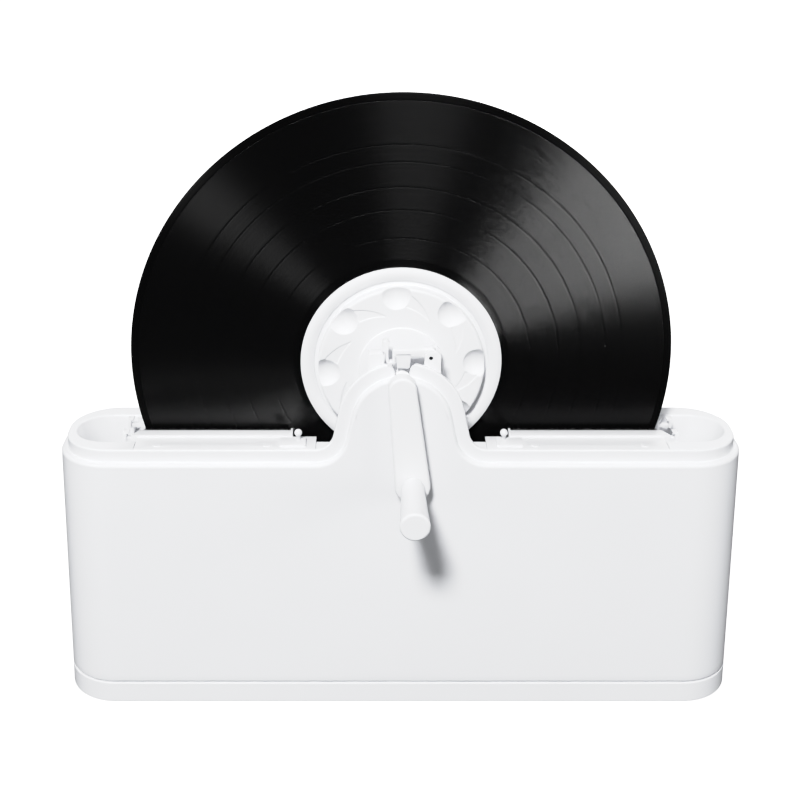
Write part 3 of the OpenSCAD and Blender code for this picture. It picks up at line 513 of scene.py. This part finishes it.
def rod(x, y, z0, z1, r, sides=32):
    """An upright round rod."""
    rows = [[(x + r * cos(2 * pi * i / sides), y + r * sin(2 * pi * i / sides), z) for i in range(sides)]
            for z in (z0, z1)]
    return skin(rows)


plain_columns = [c for c in ledge_columns() if c[3] == "end" or abs(c[0][0]) > BELL_REACH]
tray_rows, hollow_rows = base_rows(plain_columns)
bosses = [loose("boss", *rod(x, y, -1.0, BASE["height"], BOSS["r"])) for x, y in SCREWS]
hollow = carve(loose("hollow_blank", *skin(hollow_rows)), bosses)
hollow_cutter = bpy.data.objects.new("hollow_cutter", hollow)
scene.collection.objects.link(hollow_cutter)
base = bpy.data.objects.new("base_blank", carve(loose("tray_blank", *skin(tray_rows)), [hollow_cutter]))
scene.collection.objects.link(base)
cutters = []
for x, y in SCREWS:
    cutters.append(loose("recess_cutter", *rod(x, y, -1.0, BOSS["recess_z"], BOSS["recess_r"])))
    cutters.append(loose("hole_cutter", *rod(x, y, 9.0, 20.0, BOSS["hole_r"])))
    cutters.append(loose("boss_room", *rod(x, y, BASE["height"], 20.0, BOSS["room_r"])))
dressed("base_tray", carve(base, cutters), tub_white, "basin", replaces=["base_plate"])

# ---- Base screws --------------------------------------------------------------------------
# Six pan-head steel screws with a cross recess hold the base plate from below.
steel_shade = Shader("bright_steel")
drawn_along = {"Vector": steel_shade.object_coords, "Scale": (60.0, 900.0, 900.0)}
steel_lines = steel_shade.node("ShaderNodeMapping", drawn_along).outputs["Vector"]
steel_grain = steel_shade.noise(4.0, 4.0, 0.6, steel_lines)
steel = steel_shade.finish(
    Base_Color=steel_shade.blend(steel_grain, (0.50, 0.51, 0.52), (0.66, 0.67, 0.68)),
    Roughness=steel_shade.spread(steel_grain, 0.16, 0.25), Metallic=1.0, Anisotropic=0.4,
    Normal=steel_shade.bump(steel_grain, 0.06, 0.00003))

SCREW = dict(head_r=0.0029, head_h=0.00145, head_z=0.00977, shank_r=0.0014, shank=0.0135, shank_z=0.00695,
             slots=((0.0034, 0.0007, 0.0018), (0.0007, 0.0034, 0.0018)), slot_z=-0.0007)
screws = loose("screw_places", [(x, y, 0.0) for x, y in SCREWS], [])
screw_tree = bpy.data.node_groups.new("screws_at_points", "GeometryNodeTree")
screw_tree.interface.new_socket("Geometry", in_out="INPUT", socket_type="NodeSocketGeometry")
head_radius = screw_tree.interface.new_socket("Head radius", in_out="INPUT", socket_type="NodeSocketFloat")
head_height = screw_tree.interface.new_socket("Head height", in_out="INPUT", socket_type="NodeSocketFloat")
screw_tree.interface.new_socket("Geometry", in_out="OUTPUT", socket_type="NodeSocketGeometry")


def tree_node(tree, kind, values=None, **settings):
    """A geometry node with its settings and inputs, by socket name or number."""
    made = tree.nodes.new(kind)
    for key, value in settings.items():
        setattr(made, key, value)
    for key, value in (values or {}).items():
        if isinstance(value, bpy.types.NodeSocket):
            tree.links.new(value, made.inputs[key])
        else:
            made.inputs[key].default_value = value
    return made


def raised(tree, geometry, z):
    """A node that moves a geometry up by z metres."""
    moved = tree_node(tree, "GeometryNodeTransform", {"Geometry": geometry, "Translation": (0, 0, z)})
    return moved.outputs["Geometry"]


def run_tree(piece, tree, values):
    """Runs a geometry tree on a helper object and gives the plain mesh that it makes."""
    step = piece.modifiers.new("tree", "NODES")
    step.node_group = tree
    for socket, value in values:
        step[socket.identifier] = value
    return baked(piece)


given = tree_node(screw_tree, "NodeGroupInput")
head = tree_node(screw_tree, "GeometryNodeMeshCylinder",
                 {"Vertices": 32, "Radius": given.outputs["Head radius"], "Depth": given.outputs["Head height"]})
crossed = tree_node(screw_tree, "GeometryNodeMeshBoolean", {0: head.outputs["Mesh"]}, operation="DIFFERENCE")
for size in SCREW["slots"]:
    bar = tree_node(screw_tree, "GeometryNodeMeshCube", {"Size": size})
    screw_tree.links.new(raised(screw_tree, bar.outputs["Mesh"], SCREW["slot_z"]), crossed.inputs[1])
shank = tree_node(screw_tree, "GeometryNodeMeshCylinder",
                  {"Vertices": 24, "Radius": SCREW["shank_r"], "Depth": SCREW["shank"]})
whole = tree_node(screw_tree, "GeometryNodeJoinGeometry", {0: crossed.outputs["Mesh"]})
screw_tree.links.new(raised(screw_tree, shank.outputs["Mesh"], SCREW["shank_z"]), whole.inputs[0])
spots = tree_node(screw_tree, "GeometryNodeMeshToPoints", {0: given.outputs["Geometry"]})
set_out = tree_node(screw_tree, "GeometryNodeInstanceOnPoints", {
    "Points": spots.outputs[0], "Instance": raised(screw_tree, whole.outputs[0], SCREW["head_z"])})
joined = tree_node(screw_tree, "GeometryNodeRealizeInstances", {0: set_out.outputs[0]})
painted = tree_node(screw_tree, "GeometryNodeSetMaterial", {"Geometry": joined.outputs[0], "Material": steel})
tree_node(screw_tree, "NodeGroupOutput", {0: painted.outputs[0]})
screw_mesh = run_tree(screws, screw_tree, [(head_radius, SCREW["head_r"]), (head_height, SCREW["head_h"])])
dressed("recessed_screws", screw_mesh, None, "basin", replaces=["base_screws"])

# ---- Latch brackets -----------------------------------------------------------------------
# A saddle plate behind each bell carries two hinge ears and the catch block that the latch
# snaps past. They are small white mouldings with softly broken edges.
latch_white = white_plastic("latch_white_plastic", (0.80, 0.806, 0.825), 0.34)
BROKEN_EDGE = dict(steps=3, above=radians(28.0))


def refined(node, edge, material):
    """A CAD node's own mesh, merged, with its sharp edges broken as the mould leaves them."""
    mesh = frame["nodes"][node].data.copy()
    shape = bmesh.new()
    shape.from_mesh(mesh)
    bmesh.ops.remove_doubles(shape, verts=shape.verts, dist=2e-6)
    bmesh.ops.dissolve_limit(shape, angle_limit=radians(0.5), verts=shape.verts, edges=shape.edges)
    if edge:
        sharp = [e for e in shape.edges
                 if len(e.link_faces) == 2 and e.calc_face_angle(0.0) > BROKEN_EDGE["above"]]
        bmesh.ops.bevel(shape, geom=sharp, offset=edge * MM, segments=BROKEN_EDGE["steps"], profile=0.5,
                        affect="EDGES", clamp_overlap=True)
    shape.to_mesh(mesh)
    shape.free()
    body = frame["nodes"][node]["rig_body"]
    return dressed(node + "_finished", mesh, material, body, replaces=[node])


for end in ("front", "rear"):
    refined(end + "_latch_bracket", 0.35, latch_white)

# ---- Latch pins ---------------------------------------------------------------------------
# Each latch turns on a short steel pin that is pressed into the bracket's two ears.
for end in ("front", "rear"):
    refined(end + "_latch_pin", 0.15, steel)

# ---- Latches ------------------------------------------------------------------------------
# A strap over the shaft, moulded with a U-shaped spring leg and a finger tab at its free end.
for end in ("front", "rear"):
    refined(end + "_latch", 0.3, latch_white)

# ---- Bushes -------------------------------------------------------------------------------
# Flanged bushes in a slippery white plastic sit in the two slots and carry the shaft.
bush_white = white_plastic("bush_white_plastic", (0.79, 0.795, 0.80), 0.42, grain=0.08)
for end in ("front", "rear"):
    refined(end + "_bush", 0.2, bush_white)

# ---- Spindle ------------------------------------------------------------------------------
# The steel shaft behind the record: a threaded pin through the record's hole, a tapered neck
# and the rear journal.
refined("spindle", 0.0, steel)

# ---- Label clamps -------------------------------------------------------------------------
# Two white discs squeeze the label between soft rings. Each has a rolled outer flange, a
# channel, and a grip plate with eight finger dimples, a swirl pocket beside each, and a hub.
CLAMP = dict(radius=56.0, plate=46.0, plate_h=8.0, disc=23.5, disc_h=0.9, hub=8.0, hub_h=11.0, pin=3.55, back=1.0)
DIMPLE = dict(count=8, at=42.0, radius=8.0, deep=3.6, turn=4.0)
POCKET = dict(start=8.0, end=33.0, deep=0.55)
record_face = 0.95


def clamp_section():
    """The clamp's half section as radius and height over the record, from its back to its hub."""
    c = CLAMP
    section = [(c["pin"], c["back"]), (20.0, c["back"]), (40.0, c["back"]), (48.5, c["back"]), (49.9, 0.6),
               (50.95, 0.6), (50.95, 1.75), (54.15, 1.75), (54.15, 0.6), (55.4, 0.6)]
    section += [(c["radius"] - 0.9 + 0.9 * sin(a), 1.5 - 0.9 * cos(a)) for a in quarter(4)]
    for i in range(13):
        x = 55.9 - 7.2 * i / 12
        section.append((x, 2.9 - 1.05 * ((x - 52.4) / 3.7) ** 2))
    section += [(48.3, 1.1), (47.6, 0.9), (46.6, 0.9), (46.1, 1.2), (46.0, 2.2), (46.0, 4.0), (46.0, 5.4)]
    section += [(c["plate"] - 1.5 * (1 - cos(a)), c["plate_h"] - 1.5 * (1 - sin(a))) for a in quarter(6)]
    flat_out, flat_in = c["plate"] - 1.8, c["disc"] + 0.6
    section += [(flat_out + (flat_in - flat_out) * i / 62, c["plate_h"]) for i in range(63)]
    section += [(c["disc"] + 0.25, c["plate_h"] + 0.05), (c["disc"], c["plate_h"] + 0.3)]
    disc_top = c["plate_h"] + c["disc_h"]
    section += [(c["disc"] - 0.4 * (1 - cos(a)), disc_top - 0.4 * (1 - sin(a))) for a in quarter(3)]
    section += [(20.0, disc_top), (14.0, disc_top), (c["hub"] + 0.8, disc_top), (c["hub"] + 0.2, disc_top + 0.3),
                (c["hub"], disc_top + 0.8)]
    section += [(c["hub"] - 0.5 * (1 - cos(a)), c["hub_h"] - 0.5 * (1 - sin(a))) for a in quarter(3)]
    return section + [(c["pin"], c["hub_h"])]


def clamp_mesh(side, sides=576):
    """The section turned about the shaft, then pressed in by the dimples and the swirl pockets."""
    section = np.array(clamp_section())
    angle = np.linspace(0.0, 2 * pi, sides, endpoint=False)
    radius = np.repeat(section[:, :1], sides, axis=1)
    height = np.repeat(section[:, 1:], sides, axis=1)
    turn = np.repeat(angle[None, :], len(section), axis=0)
    top = np.arange(len(section))[:, None] > 30
    ball = (DIMPLE["radius"] ** 2 + DIMPLE["deep"] ** 2) / (2 * DIMPLE["deep"])
    for k in range(DIMPLE["count"]):
        a = radians(90 + DIMPLE["turn"] + 360 * k / DIMPLE["count"])
        dx = radius * np.cos(turn) - DIMPLE["at"] * cos(a)
        dz = radius * np.sin(turn) - DIMPLE["at"] * sin(a)
        away = np.minimum(np.hypot(dx, dz), ball)
        bowl = CLAMP["plate_h"] + ball - DIMPLE["deep"] - np.sqrt(ball ** 2 - away ** 2)
        behind = np.degrees(a - turn) % 360.0
        share = np.clip((behind - POCKET["start"]) / (POCKET["end"] - POCKET["start"]), 0.0, 1.0)
        outer, inner = 43.5 - 12.0 * share ** 1.15, 35.2 - 4.2 * share
        depth = np.clip((outer - radius) / 0.35, 0, 1) * np.clip((radius - inner) / 0.35, 0, 1)
        depth *= np.clip((behind - POCKET["start"]) / 0.6, 0, 1)
        depth *= np.clip((POCKET["end"] - behind) / 0.6, 0, 1)
        pocket = CLAMP["plate_h"] - POCKET["deep"] * depth * (1.0 - 0.45 * share)
        pressed = np.minimum(height, np.minimum(bowl, pocket))
        height = np.where(top & (radius < 46.2) & (radius > 28.0), pressed, height)
    x, z = radius * np.cos(turn), radius * np.sin(turn)
    y = side * (record_face + height)
    points = np.stack([x, y, z + SLOT["axle_z"]], axis=-1).reshape(-1, 3)
    return points, bands(sides, len(section), loop=True)


clamp_white = white_plastic("clamp_white_plastic", (0.80, 0.806, 0.825), 0.33)
solid("rear_clamp_disc", *clamp_mesh(1), clamp_white, "clamp_white", "record_rotor", replaces=["rear_clamp"])
solid("front_clamp_disc", *clamp_mesh(-1), clamp_white, "clamp_white", "front_rotor", replaces=["front_clamp"])

# ---- Label seals --------------------------------------------------------------------------
# Soft dark rings in the clamps' flanges keep the label dry.
rubber_shade = Shader("seal_rubber")
rubber = rubber_shade.finish(
    Base_Color=rubber_shade.blend(rubber_shade.noise(80.0), (0.045, 0.045, 0.048), (0.075, 0.075, 0.078)),
    Roughness=rubber_shade.spread(rubber_shade.noise(300.0), 0.62, 0.8), IOR=1.5,
    Normal=rubber_shade.bump(rubber_shade.noise(900.0), 0.15, 0.00005))
for end in ("front", "rear"):
    refined(end + "_seal", 0.25, rubber)

# ---- Record -------------------------------------------------------------------------------
# A 12 inch record in black vinyl: thick at its edge and label, with a grooved band between.
# The grooves catch the light across themselves, and smooth rings part the tracks.
RECORD = dict(radius=150.8, groove=147.0, drop=0.25, dead=60.2, land=55.0, hole=3.65)
TRACK_GAPS = (123.5, 114.2, 100.5, 88.0, 72.3)


def record_mesh(sides=512):
    r = RECORD
    low = record_face - r["drop"]
    half = [(r["hole"], record_face), (30.0, record_face), (r["land"], record_face),
            (r["land"] + 0.5, record_face - 0.03), (r["land"] + 1.5, low), (r["dead"], low)]
    for gap in sorted(TRACK_GAPS):
        half += [(gap - 0.95, low), (gap - 0.7, low), (gap - 0.35, low - 0.05), (gap + 0.35, low - 0.05),
                 (gap + 0.7, low), (gap + 0.95, low)]
    half += [(r["groove"] - 1.0, low), (r["groove"], low), (r["groove"] + 1.0, record_face - 0.02)]
    half += [(148.4, record_face - 0.02), (148.6, record_face - 0.07), (148.8, record_face - 0.02),
             (149.2, record_face)]
    half += [(r["radius"] - record_face + record_face * sin(a), record_face * cos(a)) for a in quarter(7)]
    section = half + [(a, -h) for a, h in half[-2::-1]]
    points = [(a * cos(2 * pi * i / sides), -h, SLOT["axle_z"] + a * sin(2 * pi * i / sides))
              for a, h in section for i in range(sides)]
    return points, bands(sides, len(section), loop=True)


VINYL = dict(groove=(0.20, 0.26), streak=0.03, smooth=0.16, rim=0.25, shine=0.12, rim_loss=0.105, tip=0.05)
vinyl = Shader("grooved_black_vinyl")
from_axle = {"Vector": vinyl.object_coords, "Location": (0.0, 0.0, -SLOT["axle_z"] * MM)}
centred = vinyl.node("ShaderNodeMapping", from_axle).outputs["Vector"]
spoke = vinyl.vector("MULTIPLY", centred, (1.0, 0.0, 1.0))
across = vinyl.vector("NORMALIZE", spoke)
radius_mm = vinyl.math("MULTIPLY", vinyl.vector("LENGTH", spoke, output="Value"), 1000.0)
# rings that change with the radius only: the music's loudness, and finer grooves
ring_place = vinyl.xyz(X=radius_mm)
loudness = vinyl.noise(0.9, 6.0, 0.75, ring_place)
fine_rings = vinyl.noise(5.0, 3.0, 0.7, ring_place)
grooved = vinyl.math("MULTIPLY", vinyl.math("GREATER_THAN", radius_mm, RECORD["dead"]),
                     vinyl.math("LESS_THAN", radius_mm, RECORD["groove"] - 0.6))
for gap in TRACK_GAPS:
    beside = vinyl.math("ABSOLUTE", vinyl.math("SUBTRACT", radius_mm, gap))
    grooved = vinyl.math("MULTIPLY", grooved, vinyl.math("GREATER_THAN", beside, 0.45))
# streaks: short arcs along the grooves
streak_place = vinyl.vector("ADD", vinyl.vector("MULTIPLY", across, (11.0, 0.0, 11.0)), vinyl.xyz(Y=radius_mm))
streaks = vinyl.noise(1.0, 4.0, 0.65, streak_place)
rough_groove = vinyl.math("ADD", vinyl.spread(loudness, *VINYL["groove"]),
                          vinyl.math("MULTIPLY", streaks, VINYL["streak"]))
past_groove = vinyl.math("GREATER_THAN", radius_mm, RECORD["groove"])
smooth_part = vinyl.math("ADD", VINYL["smooth"], vinyl.math("MULTIPLY", past_groove, VINYL["rim"]))
roughness = vinyl.math("ADD", vinyl.math("MULTIPLY", grooved, rough_groove),
                       vinyl.math("MULTIPLY", vinyl.math("SUBTRACT", 1.0, grooved), smooth_part))
ring_height = vinyl.math("MULTIPLY", grooved, vinyl.math("ADD", vinyl.math("ADD", loudness, fine_rings),
                                                         vinyl.math("MULTIPLY", streaks, 1.6)))
# the sheen lies across the grooves, and each streak tips it a little along them
outward = vinyl.node("ShaderNodeVectorTransform", {"Vector": across}, vector_type="VECTOR",
                     convert_from="OBJECT", convert_to="WORLD").outputs["Vector"]
facing = vinyl.node("ShaderNodeNewGeometry").outputs["Normal"]
tip = vinyl.math("MULTIPLY", vinyl.math("SUBTRACT", streaks, 0.5), VINYL["tip"])
tipped = vinyl.vector("MULTIPLY_ADD", vinyl.vector("CROSS_PRODUCT", outward, facing),
                      vinyl.xyz(X=tip, Y=tip, Z=tip), facing)
on_rim = vinyl.math("GREATER_THAN", radius_mm, RECORD["groove"] - 0.4)
shine = vinyl.math("SUBTRACT", VINYL["shine"], vinyl.math("MULTIPLY", on_rim, VINYL["rim_loss"]))
vinyl_black = vinyl.finish(
    Base_Color=vinyl.blend(vinyl.spread(fine_rings, 0.0, 1.0), (0.0012, 0.0012, 0.0013), (0.0022, 0.0022, 0.0023)),
    Roughness=roughness, Tangent=outward, Anisotropic=1.0, IOR=1.54, Specular_IOR_Level=shine,
    Normal=vinyl.bump(ring_height, 0.25, 0.00008, tipped))
record_piece = solid("grooved_record", *record_mesh(), vinyl_black, "vinyl_black", "record_rotor",
                     replaces=["vinyl_record"])
record_only.objects.link(record_piece)

# ---- Drive neck ---------------------------------------------------------------------------
# A four-sided neck tapers from the front clamp's hub to the round journal, and ends in the
# square that drives the crank.
crank_white = white_plastic("crank_white_plastic", (0.80, 0.806, 0.825), 0.31)
refined("drive_neck", 0.3, crank_white)

# ---- Crank arm ----------------------------------------------------------------------------
# A flat tapering arm in white plastic, wider at the knob, with rolled front edges.
CRANK = dict(throw=57.0, lean=radians(6.0), top_r=7.6, end_r=9.8, back=35.7, thick=8.0, edge=1.5)


def at_crank(x, z):
    """A point of the arm, drawn hanging straight down from the shaft, at the crank's lean."""
    c, s = cos(CRANK["lean"]), sin(CRANK["lean"])
    return x * c - z * s, x * s + z * c + SLOT["axle_z"]


def arm_outline(inset):
    """Two half circles joined by straight sides, from the shaft's end to the knob's."""
    tilt = asin((CRANK["end_r"] - CRANK["top_r"]) / CRANK["throw"])
    top, end = CRANK["top_r"] - inset, CRANK["end_r"] - inset
    outline = [(top * cos(a), top * sin(a)) for a in quarter(40, -degrees(tilt), 180 + degrees(tilt))]
    outline += [(end * cos(a), end * sin(a) - CRANK["throw"])
                for a in quarter(40, 180 + degrees(tilt), 360 - degrees(tilt))]
    return outline


def arm_row(inset, out):
    """The outline at a distance in front of the record, turned to the crank's lean."""
    turned = [at_crank(x, z) for x, z in arm_outline(inset)]
    return [(x, -out, z) for x, z in turned]


front_face = CRANK["back"] + CRANK["thick"]
arm_rows = [arm_row(0.5, CRANK["back"])]
arm_rows += [arm_row(0.4 * (1 - sin(a)), CRANK["back"] + 0.4 * (1 - cos(a))) for a in quarter(3)]
arm_rows += [arm_row(0.0, CRANK["back"] + 0.8), arm_row(0.0, front_face - CRANK["edge"] - 0.3)]
arm_rows += [arm_row(CRANK["edge"] * (1 - cos(a)), front_face - CRANK["edge"] * (1 - sin(a))) for a in quarter(8)]
arm_rows += [arm_row(CRANK["edge"] + 0.4, front_face)]
solid("crank_arm_moulding", *skin(arm_rows), crank_white, "crank_white", "front_rotor", replaces=["crank_arm"])

# ---- Knob stud ----------------------------------------------------------------------------
# A headed steel stud, pressed into the arm from behind, on which the knob turns.
refined("knob_stud", 0.15, steel)

# ---- Crank knob ---------------------------------------------------------------------------
# A round white handle that flares towards its free end and turns on the stud.
KNOB = dict(start=0.6, length=45.0, r=6.4, end_r=8.1, edge=1.4, bore=2.56)


def knob_mesh(sides=96):
    k, base = KNOB, front_face + KNOB["start"]
    section = [(k["bore"], base + 33.0), (k["bore"], base), (k["r"] - 0.6, base)]
    section += [(k["r"] - 0.6 * (1 - sin(a)), base + 0.6 * (1 - cos(a))) for a in quarter(4)]
    for share in (0.04, 0.2, 0.4, 0.6, 0.8, 0.93):
        section.append((k["r"] + (k["end_r"] - k["r"]) * share ** 1.25, base + k["length"] * share))
    end = base + k["length"]
    section += [(k["end_r"] - k["edge"] * (1 - cos(a)), end - k["edge"] * (1 - sin(a))) for a in quarter(7)]
    section += [(k["end_r"] - k["edge"] - 0.5, end), (0.0, end)]
    points = []
    for r, out in section:
        for i in range(sides):
            x, z = at_crank(r * cos(2 * pi * i / sides), r * sin(2 * pi * i / sides) - CRANK["throw"])
            points.append((x, -out, z))
    return points, bands(sides, len(section)) + [tuple(range(sides))]


solid("crank_knob_handle", *knob_mesh(), crank_white, "crank_white", "knob", replaces=["crank_knob"])

# ---- Brush holders ------------------------------------------------------------------------
# Four white holders lift out of the deck. Each has a flange, a bar along the record, a
# hanging board with ribs, a block for its lift pin and a tab at its outer end.
# The holders are the tub's white plastic, painted a little darker as painted shade where the record shades the
# bars.
shaded_brush_white = white_plastic("shaded_brush_white_plastic", (0.76, 0.766, 0.785), 0.33)
PLACES = [(end, side) for end in ("front", "rear") for side in ("left", "right")]
for end, side in PLACES:
    refined(f"{end}_{side}_holder", 0.3, shaded_brush_white)

# ---- Bristle strips -----------------------------------------------------------------------
# A dense black pile stands on a thin backing that is glued to the holder's board.
pile_shade = Shader("black_bristle_pile")
pile = pile_shade.finish(
    Base_Color=pile_shade.blend(pile_shade.noise(700.0), (0.006, 0.006, 0.0065), (0.022, 0.022, 0.023)),
    Roughness=pile_shade.spread(pile_shade.noise(500.0), 0.5, 0.75), IOR=1.53,
    Sheen_Weight=0.2, Sheen_Roughness=0.4,
    Normal=pile_shade.bump(pile_shade.noise(1500.0), 0.3, 0.0001))
BRUSH = dict(x0=64.0, x1=146.0, z0=97.4, z1=162.0, root=4.4, back=5.4)
PILE = dict(density=5.5e6, length=0.0031, thick=0.00016, lean=0.10, turn=3.1, shortest=0.86)

pile_tree = bpy.data.node_groups.new("pile_on_backing", "GeometryNodeTree")
pile_tree.interface.new_socket("Geometry", in_out="INPUT", socket_type="NodeSocketGeometry")
pile_density = pile_tree.interface.new_socket("Density", in_out="INPUT", socket_type="NodeSocketFloat")
pile_length = pile_tree.interface.new_socket("Length", in_out="INPUT", socket_type="NodeSocketFloat")
pile_thick = pile_tree.interface.new_socket("Thickness", in_out="INPUT", socket_type="NodeSocketFloat")
pile_tree.interface.new_socket("Geometry", in_out="OUTPUT", socket_type="NodeSocketGeometry")
given = tree_node(pile_tree, "NodeGroupInput")
normal = tree_node(pile_tree, "GeometryNodeInputNormal")
facing = tree_node(pile_tree, "ShaderNodeVectorMath", {0: normal.outputs[0], 1: (0.0, 1.0, 0.0)},
                   operation="DOT_PRODUCT")
toward = tree_node(pile_tree, "ShaderNodeMath", {0: facing.outputs["Value"], 1: 0.5}, operation="GREATER_THAN")
spots = tree_node(pile_tree, "GeometryNodeDistributePointsOnFaces",
                  {"Mesh": given.outputs["Geometry"], "Density": given.outputs["Density"], "Seed": 7,
                   "Selection": toward.outputs[0]})
strand = tree_node(pile_tree, "GeometryNodeMeshCone", {
    "Vertices": 3, "Side Segments": 1, "Radius Top": 0.0,
    "Radius Bottom": given.outputs["Thickness"], "Depth": given.outputs["Length"]}, fill_type="NONE")
lean = tree_node(pile_tree, "FunctionNodeRandomValue", {
    "Min": (-PILE["lean"], 0.0, -PILE["lean"]), "Max": (PILE["lean"], PILE["turn"], PILE["lean"]), "Seed": 3},
    data_type="FLOAT_VECTOR")
height_scale = tree_node(pile_tree, "FunctionNodeRandomValue", {2: PILE["shortest"], 3: 1.0, "Seed": 5},
                         data_type="FLOAT")
turned = tree_node(pile_tree, "FunctionNodeRotateEuler",
                   {"Rotation": spots.outputs["Rotation"], "Rotate By": lean.outputs[0]})
set_out = tree_node(pile_tree, "GeometryNodeInstanceOnPoints", {
    "Points": spots.outputs["Points"], "Instance": strand.outputs["Mesh"],
    "Rotation": turned.outputs[0], "Scale": height_scale.outputs[1]})
both = tree_node(pile_tree, "GeometryNodeJoinGeometry", {0: given.outputs["Geometry"]})
pile_tree.links.new(set_out.outputs[0], both.inputs[0])
joined = tree_node(pile_tree, "GeometryNodeRealizeInstances", {0: both.outputs[0]})
painted = tree_node(pile_tree, "GeometryNodeSetMaterial", {"Geometry": joined.outputs[0], "Material": pile})
tree_node(pile_tree, "NodeGroupOutput", {0: painted.outputs[0]})

backing = loose("backing", *slab(BRUSH["x0"], BRUSH["x1"], -BRUSH["back"], -BRUSH["root"],
                                 BRUSH["z0"], BRUSH["z1"]))
pile_mesh = run_tree(backing, pile_tree, [(pile_density, PILE["density"]), (pile_length, PILE["length"]),
                                          (pile_thick, PILE["thick"])])
for end, side in PLACES:
    mesh = pile_mesh.copy()
    flip = (-1 if side == "left" else 1, -1 if end == "rear" else 1)
    co = np.zeros(len(mesh.vertices) * 3, np.float32)
    mesh.vertices.foreach_get("co", co)
    co.shape = (-1, 3)
    co[:, 0] *= flip[0]
    co[:, 1] *= flip[1]
    mesh.vertices.foreach_set("co", co.ravel())
    if flip[0] * flip[1] < 0:
        mesh.flip_normals()
    dressed(f"{end}_{side}_pile", mesh, None, f"{end}_{side}_brush",
            replaces=[f"{end}_{side}_bristles"])
bpy.data.meshes.remove(pile_mesh)

# ---- Lift pins ----------------------------------------------------------------------------
# A ball-headed white pin in each holder gives the fingers something to lift it by.
for end, side in PLACES:
    # The pins share the holders' white with its painted shade.
    refined(f"{end}_{side}_lift_pin", 0.0, shaded_brush_white)
